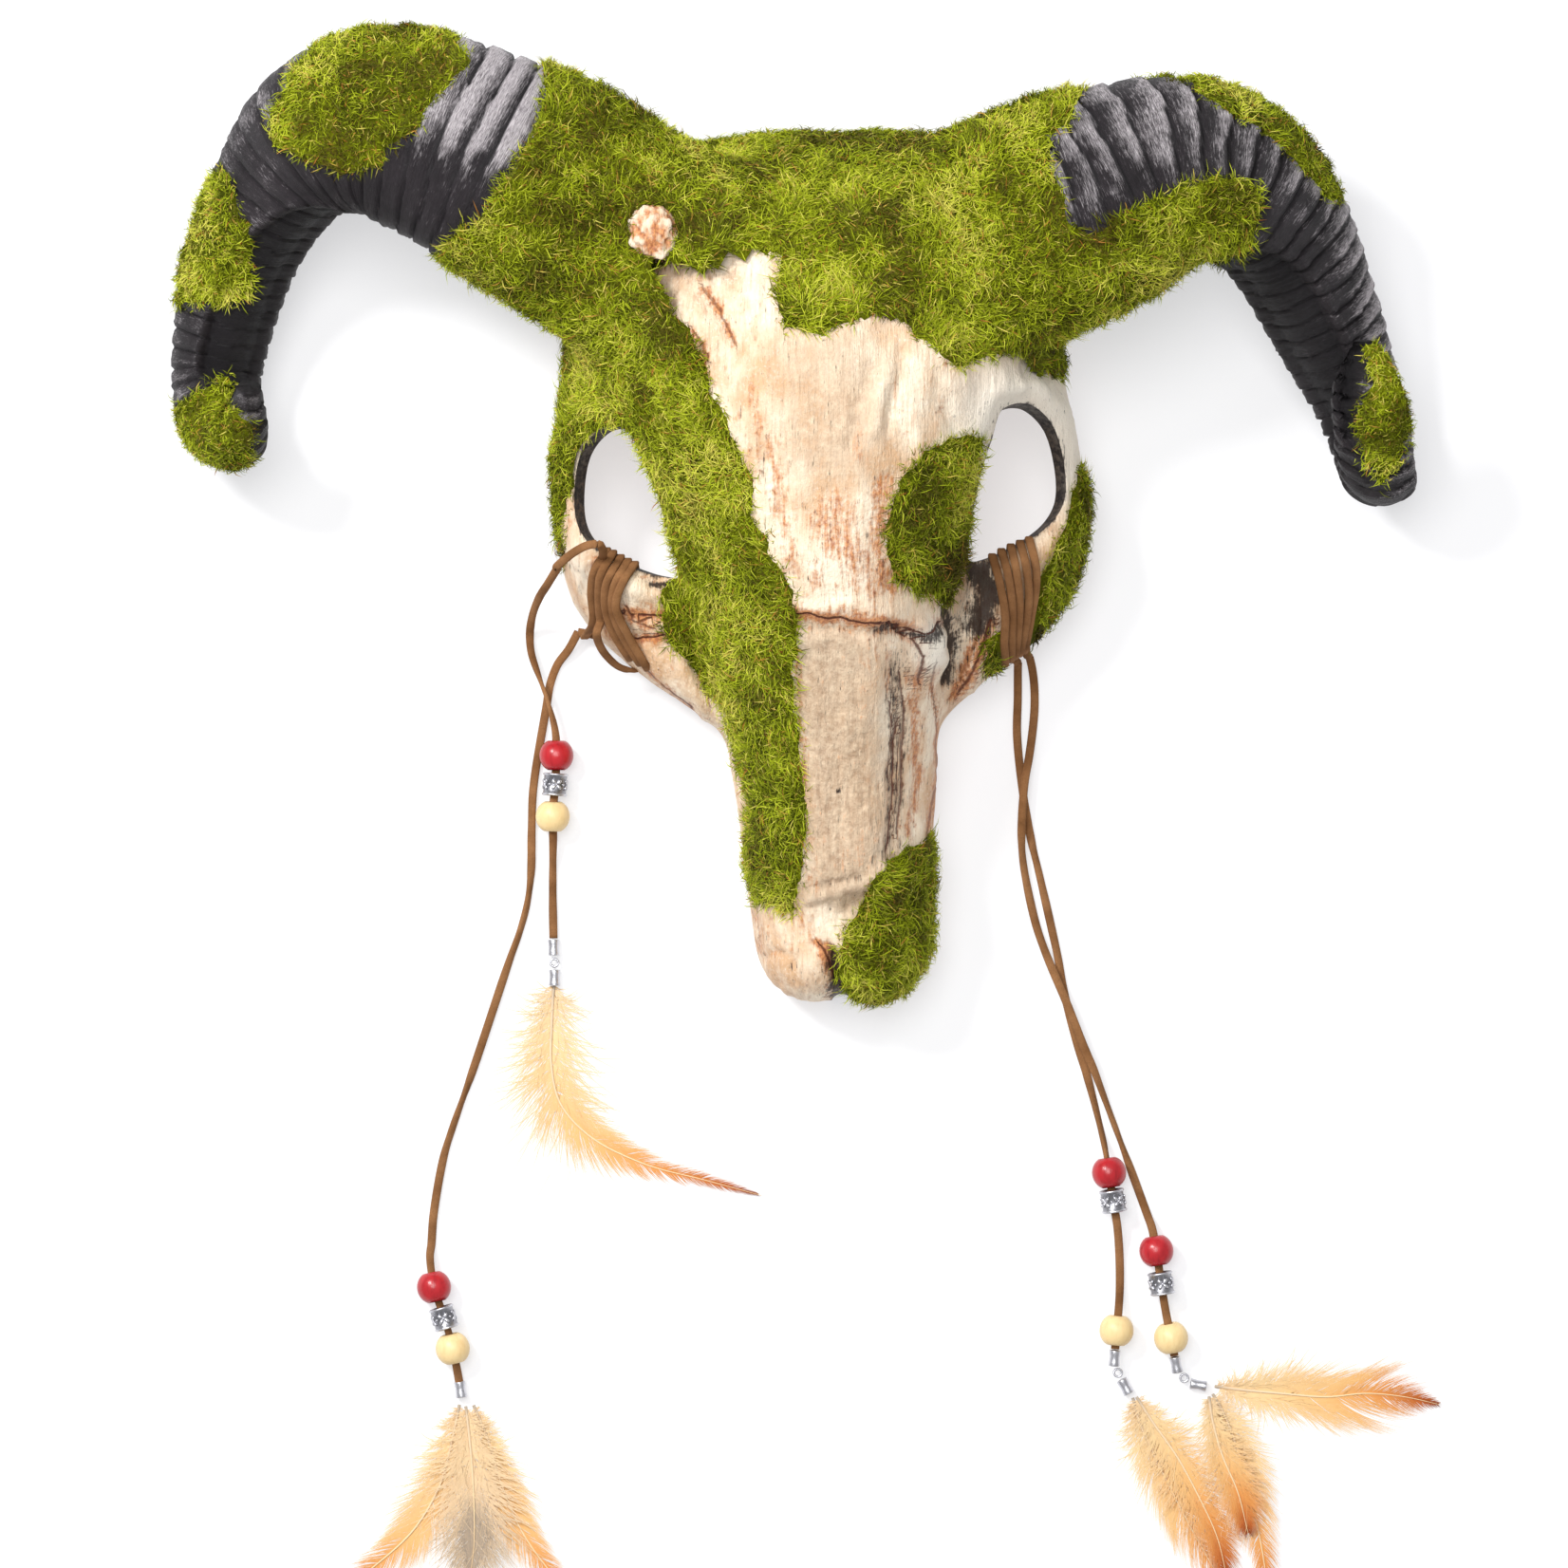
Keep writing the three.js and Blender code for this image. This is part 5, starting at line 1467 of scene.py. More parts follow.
@dataclass
class Fillet:
    """The rounded valley where a horn grows out of the skull."""

    form: SkullForm
    skull: Surface
    radius: float = 17.0
    onwards: float = 38.0
    back: float = 14.0
    lowest: float = 16.0
    steps: int = 18

    def surface(self, horn: Surface) -> Surface:
        """Curves from the horn's skin to the skull's, one for each line along the horn.

        Args:
            horn: the horn's skin.

        Returns:
            The valley's skin.
        """
        points = horn.points
        skin = self.skull.flat_points
        skin = skin[skin[:, 2] > self.lowest]
        around = points.shape[1]
        ahead = int(self.onwards / Horn.step)
        inward = unit(points[0].mean(axis=0) - points[4].mean(axis=0))
        steps = Horn.step * np.arange(ahead, 0, -1)[:, None, None]
        lines = np.concatenate([points[:1] + inward * steps, points])
        rows = ahead + points.shape[0] // 3
        sunk = self.form.buried(lines[:rows], 0.0)
        real = sunk.any(axis=0)
        start = np.where(real, rows - 1 - np.argmax(sunk[::-1], axis=0),
                         ahead - int(self.back / Horn.step))
        start = np.clip(self._even(start.astype(float)), 0, rows).astype(int)
        reach = np.maximum(start + int(self.radius / Horn.step), ahead + 4)
        lane = np.arange(around)
        meeting = lines[start, lane]
        outwards = unit(meeting - lines.mean(axis=1)[start])
        on_horn = lines[reach, lane]
        wanted = np.where(real[:, None], meeting + outwards * self.radius, lines[0])
        on_skull = np.array([skin[np.argmin(np.sum((skin - w) ** 2, axis=1))] for w in wanted])
        on_skull, meeting = self._even(on_skull), self._even(meeting)
        t = np.linspace(0, 1, self.steps)[:, None, None]
        grid = on_horn * (1 - t) ** 2 + meeting * 2 * t * (1 - t) + on_skull * t * t
        normals = grid_normals(grid, True)
        flip = np.sign(np.sum(normals[self.steps // 2] * outwards))
        faces = grid_faces(self.steps, around, True)
        return Surface(grid, normals * flip, faces if flip > 0 else faces[:, ::-1])

    @staticmethod
    def _even(values: Array) -> Array:
        """Values round a ring, each drawn towards its neighbours.

        Args:
            values: numbers or points round the ring.

        Returns:
            The evened values.
        """
        for _ in range(8):
            values = (np.roll(values, 1, axis=0) + 2 * values + np.roll(values, -1, axis=0)) / 4
        return values


@dataclass
class RootKnob:
    """The rusty knob of bone that stands out of the moss at the left horn's root."""

    finishes: Finishes
    root: Surface
    reach: tuple = (6.9, 7.7, 4.6)
    near: float = 4.0
    sunk: float = 1.2

    def build(self) -> bpy.types.Object:
        """Makes a rough flattened ball sunk in the root.

        Returns:
            The finished knob.
        """
        points = self.root.flat_points
        near = np.hypot(points[:, 0] - ROOT_KNOB[0], points[:, 1] - ROOT_KNOB[1]) < self.near
        top = float(points[near, 2].max())
        shape = bmesh.new()
        bmesh.ops.create_icosphere(shape, subdivisions=5, radius=1.0)
        ball = np.array([v.co for v in shape.verts])
        faces = [[v.index for v in face.verts] for face in shape.faces]
        shape.free()
        rough = layered_noise(ball * 2.6, 29) + 0.5 * lattice_noise(ball * 9.0, 31)
        placed = ball * self.reach * (1 + 0.13 * rough)[:, None] + [*ROOT_KNOB, top - self.sunk]
        values = {"rust": np.clip(0.55 - 0.5 * rough, 0, 1), "pale": np.clip(0.5 * rough, 0, 0.35)}
        return mesh_object("skull_face_root_knob", to_frame(placed), np.array(faces),
                           self.finishes.bone,
                           ["skull_face"], values)


@dataclass
class MossBuilder:
    """Lays moss beds on surfaces and sets fibres in them."""

    finishes: Finishes
    form: SkullForm
    surfaces: dict[str, Surface]
    shares: dict[str, Array]
    per_square: float = 3.6
    long_share: float = 0.1
    long_length: tuple = (4.6, 6.8)
    straw_share: float = 0.08
    half_width: tuple = (0.11, 0.19)
    root_sunk: float = 0.3
    lowest_point: float = 0.3
    random: np.random.Generator = field(default_factory=lambda: np.random.default_rng(SEED))

    def _depth(self, patch: MossPatch, key: str, points: Array, normals: Array) -> Array:
        """How far each point lies within the patch, its edge made ragged.

        Args:
            patch: the mat.
            key: the surface's name.
            points: the surface's points.
            normals: the way out at each.

        Returns:
            Millimetres within the mat's edge.
        """
        ragged = layered_noise(points * 0.22, 61) * 1.3
        depth = depth_inside(points[:, 0], points[:, 1], patch.outline) + ragged
        knob = np.hypot(points[:, 0] - ROOT_KNOB[0], (points[:, 1] - ROOT_KNOB[1]) * 0.85)
        depth = np.minimum(depth, knob - KNOB_CLEAR + 0.4 * ragged)
        depth = np.minimum(depth, points[:, 2] - patch.lowest)
        if key != "skull":
            depth = np.where(self.form.buried(points, MOSS_BURIED), NO_MOSS, depth)
        depth = np.minimum(depth, (normals[:, 2] - patch.facing) * 20)
        if key in self.shares:
            share = self.shares[key].ravel()
            depth = np.minimum(depth, (share - patch.reach[0]) * 200)
            depth = np.minimum(depth, (patch.reach[1] - share) * 200)
        return depth

    def build(self, patch: MossPatch, fibre_parts: int) -> None:
        """Makes a patch's bed and its fibres.

        Args:
            patch: the mat to lay.
            fibre_parts: separate meshes that the fibres are divided into.
        """
        beds, roots = [], []
        offset = 0
        for key in patch.surfaces:
            surface = self.surfaces[key]
            points, normals = surface.flat_points, surface.flat_normals
            depth = self._depth(patch, key, points, normals)
            wide = surface.faces[(depth[surface.faces] > -2.2).any(axis=1)]
            if not len(wide):
                continue
            used, local = np.unique(wide, return_inverse=True)
            local = local.reshape(-1, 4)
            lumps = layered_noise(points[used] * 0.13, 71)
            thick = 0.7 if key in self.shares else 1.1
            lift = np.clip(depth[used] * 0.45, -0.5, (thick + 0.5 * lumps) * patch.length)
            bed = points[used] + normals[used] * lift[:, None]
            under = (depth[used][local] > -0.2).any(axis=1)
            kept, renumbered = np.unique(local[under], return_inverse=True)
            if under.any():
                beds.append((bed[kept], renumbered.reshape(-1, 4) + offset))
                offset += len(kept)
            grown = points[used] + normals[used] * np.maximum(lift, 0.05)[:, None]
            roots.append(self._roots(grown, normals[used], local, depth[used]))
        bed_points = np.concatenate([b for b, _ in beds])
        bed_faces = np.concatenate([f for _, f in beds])
        mesh_object(patch.node + "_bed", to_frame(bed_points), bed_faces, self.finishes.moss,
                    [patch.node])
        places = np.concatenate([r[0] for r in roots])
        ways = np.concatenate([r[1] for r in roots])
        order = np.argsort(places[:, 0], kind="stable")
        for k, chunk in enumerate(np.array_split(order, fibre_parts)):
            self._fibres(f"{patch.node}_fibres_{k + 1}", places[chunk], ways[chunk], patch.length)
        log.info("%s: %d fibres", patch.node, len(places))

    def _roots(self, points: Array, normals: Array, faces: Array,
               depth: Array) -> tuple[Array, Array]:
        """Random places over the bed by area, thinning out past its edge, with the way out at each.

        Args:
            points: the bed's points.
            normals: the way out at each.
            faces: the bed's faces.
            depth: millimetres within the mat's edge.

        Returns:
            The places and the ways.
        """
        corners = points[faces]
        area = np.linalg.norm(np.cross(corners[:, 2] - corners[:, 0],
                                       corners[:, 3] - corners[:, 1]), axis=1) / 2
        share = area * smooth_step(depth[faces].mean(axis=1), -1.9, 0.9)
        count = int(share.sum() * self.per_square)
        chosen = self.random.choice(len(faces), size=count, p=share / share.sum())
        a, b = self.random.random(count)[:, None], self.random.random(count)[:, None]
        c = corners[chosen]
        place = (c[:, 0] * (1 - a) + c[:, 1] * a) * (1 - b) + (c[:, 3] * (1 - a) + c[:, 2] * a) * b
        clear = np.full(count, np.inf)
        for strand in (*LEFT_STRANDS, *RIGHT_STRANDS):
            clear = np.minimum(clear, path_distance(place[:, 0], place[:, 1], strand))
        kept = clear > LACE_CLEAR
        return place[kept], unit(normals[faces][chosen].mean(axis=1))[kept]

    def _fibres(self, name: str, places: Array, ways: Array, scale: float) -> None:
        """Makes thin bent blades, three triangles each, with their shade in a UV map.

        Args:
            name: the piece's name.
            places: where the blades stand.
            ways: the way out at each.
            scale: the share of full length.
        """
        n = len(places)
        rnd = self.random
        swirl = np.stack([lattice_noise(places * 0.11, 81 + k) for k in range(3)], axis=1)
        tangent = unit(swirl * 0.9 + rnd.normal(size=(n, 3)) * 0.7)
        tangent = unit(tangent - ways * np.sum(tangent * ways, axis=1, keepdims=True))
        lean = rnd.uniform(0.7, 2.4, n)[:, None]
        first = unit(ways + tangent * lean * 0.8)
        second = unit(ways * 0.35 + tangent * (lean + 0.3) + np.array([0, 0, -0.05]))
        long = rnd.random(n) < self.long_share
        length = np.where(long, rnd.uniform(*self.long_length, n),
                          1.7 + 3.3 * rnd.random(n) ** 1.6)[:, None] * scale
        across = unit(np.cross(first, ways + rnd.normal(size=(n, 3)) * 0.4))
        wide = rnd.uniform(*self.half_width, n)[:, None]
        low = places - ways * self.root_sunk
        mid = low + first * length * 0.5
        tip = mid + second * length * 0.5
        points = np.stack([low - across * wide, low + across * wide, mid - across * wide * 0.85,
                           mid + across * wide * 0.85, tip], axis=1).reshape(-1, 3)
        points[:, 2] = np.maximum(points[:, 2], self.lowest_point)
        corners = 5
        base = (np.arange(n) * corners)[:, None]
        faces = np.concatenate([base + [0, 1, 3], base + [0, 3, 2], base + [2, 3, 4]], axis=0)
        patchy = 0.42 + 0.38 * layered_noise(places * 0.05,
                                             91) + 0.34 * lattice_noise(places * 0.2, 95)
        kind = patchy + rnd.normal(size=n) * 0.15 + 0.12 * long
        straw = rnd.random(n) < self.straw_share
        kind = np.where(straw, rnd.uniform(0.85, 1.0, n), np.clip(kind, 0.02, 0.84))
        rise = np.array([0.03, 0.03, 0.5, 0.5, 0.97])
        uv = np.stack([np.repeat(kind[:, None], corners, axis=1), np.repeat(rise[None], n, axis=0)],
                      axis=-1)
        mesh_object(name, to_frame(points), faces, self.finishes.fibre,
                    uv=("OFBake", uv.reshape(-1, 2)))


@dataclass
class Ribbon:
    """A flat suede strip: its centre points, the way across it at each, and its size."""

    name: str
    points: Array
    across: Array
    width: float
    thick: float

    def build(self, material: bpy.types.Material, nodes: Sequence[str]) -> bpy.types.Object:
        """Sweeps the strip's section along its points.

        Args:
            material: its finish.
            nodes: CAD nodes that it stands for.

        Returns:
            The finished strip.
        """
        tangents = unit(np.gradient(self.points, axis=0))
        across = unit(self.across - tangents * np.sum(self.across * tangents, axis=1,
                                                      keepdims=True))
        up = np.cross(across, tangents)
        half, deep = self.width / 2, self.thick / 2
        corner = 0.35
        section = [(-half, -deep + corner), (-half + corner, -deep), (half - corner, -deep),
                   (half, -deep + corner),
                   (half, deep - corner), (half - corner, deep), (-half + corner, deep),
                   (-half, deep - corner)]
        rings = [self.points + across * a + up * b for a, b in section]
        grid = np.stack(rings, axis=1)
        faces = grid_faces(len(self.points), 8, True)
        last = (len(self.points) - 1) * 8
        caps = np.array([[0, 1, 6, 7], [1, 2, 5, 6], [2, 3, 4, 5]])
        ends = np.concatenate([caps, caps[:, ::-1] + last])
        shape = bmesh.new()
        made = [shape.verts.new(p) for p in to_frame(grid.reshape(-1, 3))]
        for face in np.concatenate([faces, ends]):
            shape.faces.new([made[k] for k in face])
        return bmesh_object(self.name, shape, material, nodes)


# Lace routes from the cheekbone to the lace's end, [x, y, z]
ROUTES = {
    "lace_left_short": [
        [-75.5, -20.1, 36.5], [-78.6, -24.5, 29], [-81.5, -28.3, 19], [-84, -33.8, 7],
        [-84.8, -39, 2.2],
        [-84.3, -44, 3.4], [-81.8, -51.5, 4.6], [-79.6, -57.6, 5.4], [-77.8, -64, 5.3],
        [-77.1, -68.1, BEAD_Z], [-76.9, -73.9, BEAD_Z], [-77.3, -82.5, BEAD_Z],
        [-78, -91.7, BEAD_Z],
        [-77.9, -98, 4.4], [-78.1, -108, 1.8], [-78.1, -117, 1.6], [-77.9, -127.4, 1.75],
    ],
    "lace_left_long": [
        [-70.6, -37.9, 4.6], [-73.4, -42.9, 3], [-76.7, -47.3, FLOOR_Z], [-78.8, -52.8, FLOOR_Z],
        [-80, -59.8, FLOOR_Z], [-83.8, -83.4, FLOOR_Z], [-84.3, -95.8, FLOOR_Z],
        [-84.5, -108.3, FLOOR_Z],
        [-85.6, -117.2, FLOOR_Z], [-87.9, -125.8, FLOOR_Z], [-90.6, -133.3, FLOOR_Z],
        [-101.7, -166.6, FLOOR_Z], [-107.6, -183.3, FLOOR_Z], [-110.1, -191.6, FLOOR_Z],
        [-113, -208.3, FLOOR_Z], [-113.6, -216.6, FLOOR_Z], [-113.9, -220.5, 3.6],
        [-112.4, -230.2, BEAD_Z],
        [-111, -234.2, BEAD_Z], [-108.2, -243, BEAD_Z], [-107.1, -247.4, BEAD_Z],
        [-106.2, -251.9, 4.8],
        [-105.7, -255.2, 3.0], [-105.2, -258.8, 2.0],
    ],
    "lace_right_inner": [
        [57.9, -46.9, 3.2], [57.9, -48.7, 2.2], [57.9, -57, FLOOR_Z], [57.7, -68.1, FLOOR_Z],
        [59.3, -83.9, FLOOR_Z], [60.6, -92.2, FLOOR_Z], [62.1, -100, FLOOR_Z],
        [64.1, -108.3, FLOOR_Z],
        [67.9, -125, FLOOR_Z], [69.6, -132.8, FLOOR_Z], [71.1, -141.6, FLOOR_Z],
        [75.3, -158.3, FLOOR_Z],
        [77.9, -166.6, FLOOR_Z], [82.2, -183.3, FLOOR_Z], [83.5, -190, 4.6], [84.4, -195.7, BEAD_Z],
        [85.6, -204, BEAD_Z], [86.8, -211, 4.6], [87.6, -220, 2], [87.7, -229, 2.3],
        [87.2, -236, 4.6],
        [86.6, -241.7, BEAD_Z], [86.2, -247.2, 5],
    ],
    "lace_right_outer": [
        [61.3, -45.3, 3.4], [62.1, -48.7, 2.4], [62.7, -53.4, FLOOR_Z], [62.8, -59.8, FLOOR_Z],
        [62.3, -66.1, FLOOR_Z], [61.2, -73.9, 3], [59.9, -81.1, 4.05], [59.2, -88.9, 4.05],
        [58.9, -97.2, 4.05], [59.4, -105, 2.6], [62.9, -122.2, FLOOR_Z], [65.8, -131.1, 2.9],
        [72.7, -147.7, 4.05], [76.8, -158.2, 4.05], [80.3, -166.5, 4.05], [83.2, -174.1, 2.4],
        [89.7, -191.6, FLOOR_Z], [95.8, -208.3, FLOOR_Z], [97, -212, 4.2], [98.2, -218.4, BEAD_Z],
        [99.6, -227.9, BEAD_Z], [101, -236.5, BEAD_Z], [102.5, -243.9, BEAD_Z],
        [103.5, -249.2, 4.8],
    ],
}


# Strands wound over each cheekbone, in their order, [x, y] from the eye hole to the outline
LEFT_STRANDS = (
    ((-62.3, -16.6), (-65.1, -21.7), (-66.0, -27.5), (-65.6, -32.8), (-66, -36.4), (-68, -38.8)),
    ((-60.4, -17.4), (-63.2, -22.7), (-63.8, -29.4), (-63.5, -35.5)),
    ((-58.2, -18.7), (-61.3, -24.6), (-61.9, -30.8), (-60.0, -38.0), (-55.7, -45.3)),
    ((-56.1, -19.8), (-59.1, -25.7), (-59.8, -31.6), (-57.8, -38.0), (-52.7, -46.7)),
    ((-54.2, -20.6), (-57.5, -26.3), (-58.7, -31.6), (-56.4, -37.4), (-50.5, -48.0)),
)
RIGHT_STRANDS = (
    ((60.2, -13.8), (61.8, -20.8), (61.8, -26.8), (60.9, -32.8), (59.3, -43.1)),
    ((57.6, -14.8), (59.1, -21.4), (59.8, -27.9), (59.4, -34.7), (57.9, -43.9)),
    ((54.9, -15.9), (56.2, -22.5), (57.2, -30.1), (57.0, -37.1), (56.5, -44.7)),
    ((52.3, -17.2), (54.1, -24.6), (55.1, -32.3), (55.1, -38.8), (55.2, -45.6)),
    ((49.7, -18.7), (51.7, -26.3), (53.1, -34.9), (52.9, -41.5), (53.5, -46.9)),
)
LEFT_LOOP = (
    (-51.2, -47.4, 8), (-54.4, -49.1, 10), (-58.2, -48.3, 12), (-61.5, -45.6, 16),
    (-63.8, -42.1, 22), (-64.4, -38.4, 30),
)
LEFT_LEAD = ((-75.9, -20.1, 36.5), (-73.4, -17.9, 41), (-70.0, -15.6, 45), (-66.3, -14.0, 48),
             (-63.0, -13.9, 49))
LEFT_TAIL = ((-52, -38, 14), (-57, -40, 9), (-63, -39.5, 6.5), (-67.5, -38.4, 5))
RIGHT_LEAD = ((60.7, -44.8, 6.5), (60.1, -44.2, 10))
RIGHT_TAIL = ((50, -40, 14), (54, -44.5, 8), (57, -46, 5))


@dataclass
class Winding:
    """One lace wound tight: over the cheekbone, down the eye hole and back under its edge."""

    form: SkullForm
    strands: tuple
    lead: list
    tail: list
    loops: dict[int, tuple] = field(default_factory=dict)
    clear: float = 0.8
    stack: float = 0.22

    def _top(self, x: Array, y: Array) -> Array:
        """The worked surface's height under a strip at each place.

        Args:
            x: first coordinates.
            y: second coordinates.

        Returns:
            Heights in millimetres.
        """
        heights = []
        for shift in (-1.3, 0.0, 1.3):
            u, v = unturned(x + shift, y)
            heights.append(self.form.height(u, v) + self.form.relief(u, v)["out"])
        return np.max(heights, axis=0)

    def _taut(self, plan: Array, number: int, low: float) -> Array:
        """A strand drawn tight over the bone along its plan line.

        Args:
            plan: the strand's line in plan.
            number: which strand it is.
            low: the least height.

        Returns:
            Points from the eye hole's edge to the outline.
        """
        line = smooth_path(np.column_stack([plan, np.zeros(len(plan))]), 6)
        run = run_along(line)
        height = np.maximum(self._top(line[:, 0], line[:, 1]), low)
        hull = [0]
        for k in range(1, len(run)):
            while len(hull) > 1:
                a, b = hull[-2], hull[-1]
                if (height[b]
                    - height[a]) * (run[k] - run[a]) > (height[k] - height[a]) * (run[b] - run[a]):
                    break
                hull.pop()
            hull.append(k)
        line[:, 2] = np.interp(run, run[hull], height[hull]) + self.clear + self.stack * number
        return line[::3]

    def _inside(self, x: float, y: float, below: float) -> Array:
        """A place in the hollow, some millimetres below its roof.

        Args:
            x: first coordinate.
            y: second coordinate.
            below: millimetres under the roof.

        Returns:
            The place.
        """
        u, v = unturned(x, y)
        roof = self.form.height(np.array([u]), np.array([v]), -WALL)[0]
        return np.array([x, y, max(6.0, roof - below)])

    def ribbon(self, name: str, width: float) -> Ribbon:
        """The whole winding as a flat strip, its flat side to the bone.

        Args:
            name: the strip's name.
            width: its width.

        Returns:
            The strip, not yet made.
        """
        points = [np.array(p, float) for p in self.lead]
        first = len(points)
        for number, strand in enumerate(self.strands):
            plan = np.array(strand, float)
            down = unit(plan[-1] - plan[-2])
            top, bottom = plan[0], plan[-1]
            over = self._taut(plan, number, 12.0)[::-1]
            loop = self.loops.get(number)
            if number or len(self.lead) > 2:
                foot = np.array(loop[0][:2]) if loop else bottom
                middle = (top + bottom) / 2
                points.append(self._inside(*middle, 4.0))
                points.append(np.array([*(foot - down * 3.5), 8.6]))
                points.append(np.array([*(foot + down * 0.6), 8.2]))
            points += [np.array(p, float)
                       for p in loop] if loop else [np.array([*(bottom + down * 0.9), 10.5])]
            points += list(over)
            points.append(np.array([*(top - unit(plan[1] - top) * 1.7), over[-1][2] - 1.6]))
            points.append(np.array([*(top - unit(plan[1] - top) * 1.6), over[-1][2] - 6.5]))
        last = len(points)
        points += [np.array(p, float) for p in self.tail]
        per_side = 5
        line = smooth_path(np.array(points), per_side)
        tangents = unit(np.gradient(line, axis=0))
        flat = unit(np.cross(tangents, [0, 0, 1.0]) + 1e-6)
        flat = flat * np.where(flat[:, :1] < 0, -1, 1)
        place = np.arange(len(line))
        wound = smooth_step(place, (first - 2) * per_side, (first + 1) * per_side)
        wound = wound * (1 - smooth_step(place, (last + 1) * per_side, (last + 2) * per_side))
        ways = unit(flat * (1 - wound[:, None]) + np.array([1.0, 0, 0]) * wound[:, None])
        return Ribbon(name, line, ways, width, LACE_THICK)


@dataclass
class FreeLace:
    """A lace's loose end, lying on the surface below the mask."""

    node: str
    finishes: Finishes
    line: Array = field(init=False)

    def __post_init__(self) -> None:
        line = smooth_path(np.array(ROUTES[self.node], float), 8)
        line[:, 2] -= 0.35 * (1 - smooth_step(line[:, 2], 1.5, 4.0))
        self.line = line

    def build(self) -> bpy.types.Object:
        """Makes the flat strip.

        Returns:
            The finished strip.
        """
        tangents = unit(np.gradient(self.line, axis=0))
        run = run_along(self.line)
        middle = np.sin(np.pi * np.clip(run / run[-1], 0, 1)) ** 0.5
        waver = layered_noise(np.stack([run * 0.035, run * 0, run * 0], axis=-1),
                              len(self.node) + 3)
        lean = middle * (0.35 + 1.1 * waver)
        flat = unit(np.cross(tangents, np.array([0, 0, 1.0])))
        across = flat * np.cos(lean)[:, None] + np.cross(flat, tangents) * np.sin(lean)[:, None]
        return Ribbon(self.node + "_strip", self.line, across, LACE_WIDTH,
                      LACE_THICK).build(self.finishes.suede, [self.node])


class Kind(Enum):
    """What sits on a lace end."""

    RED = "red_bead"
    CREAM = "cream_bead"
    BARREL = "silver_barrel"
    CRIMP = "lace_crimp"
    FEATHER_CRIMP = "feather_crimp"
    RING = "ring"


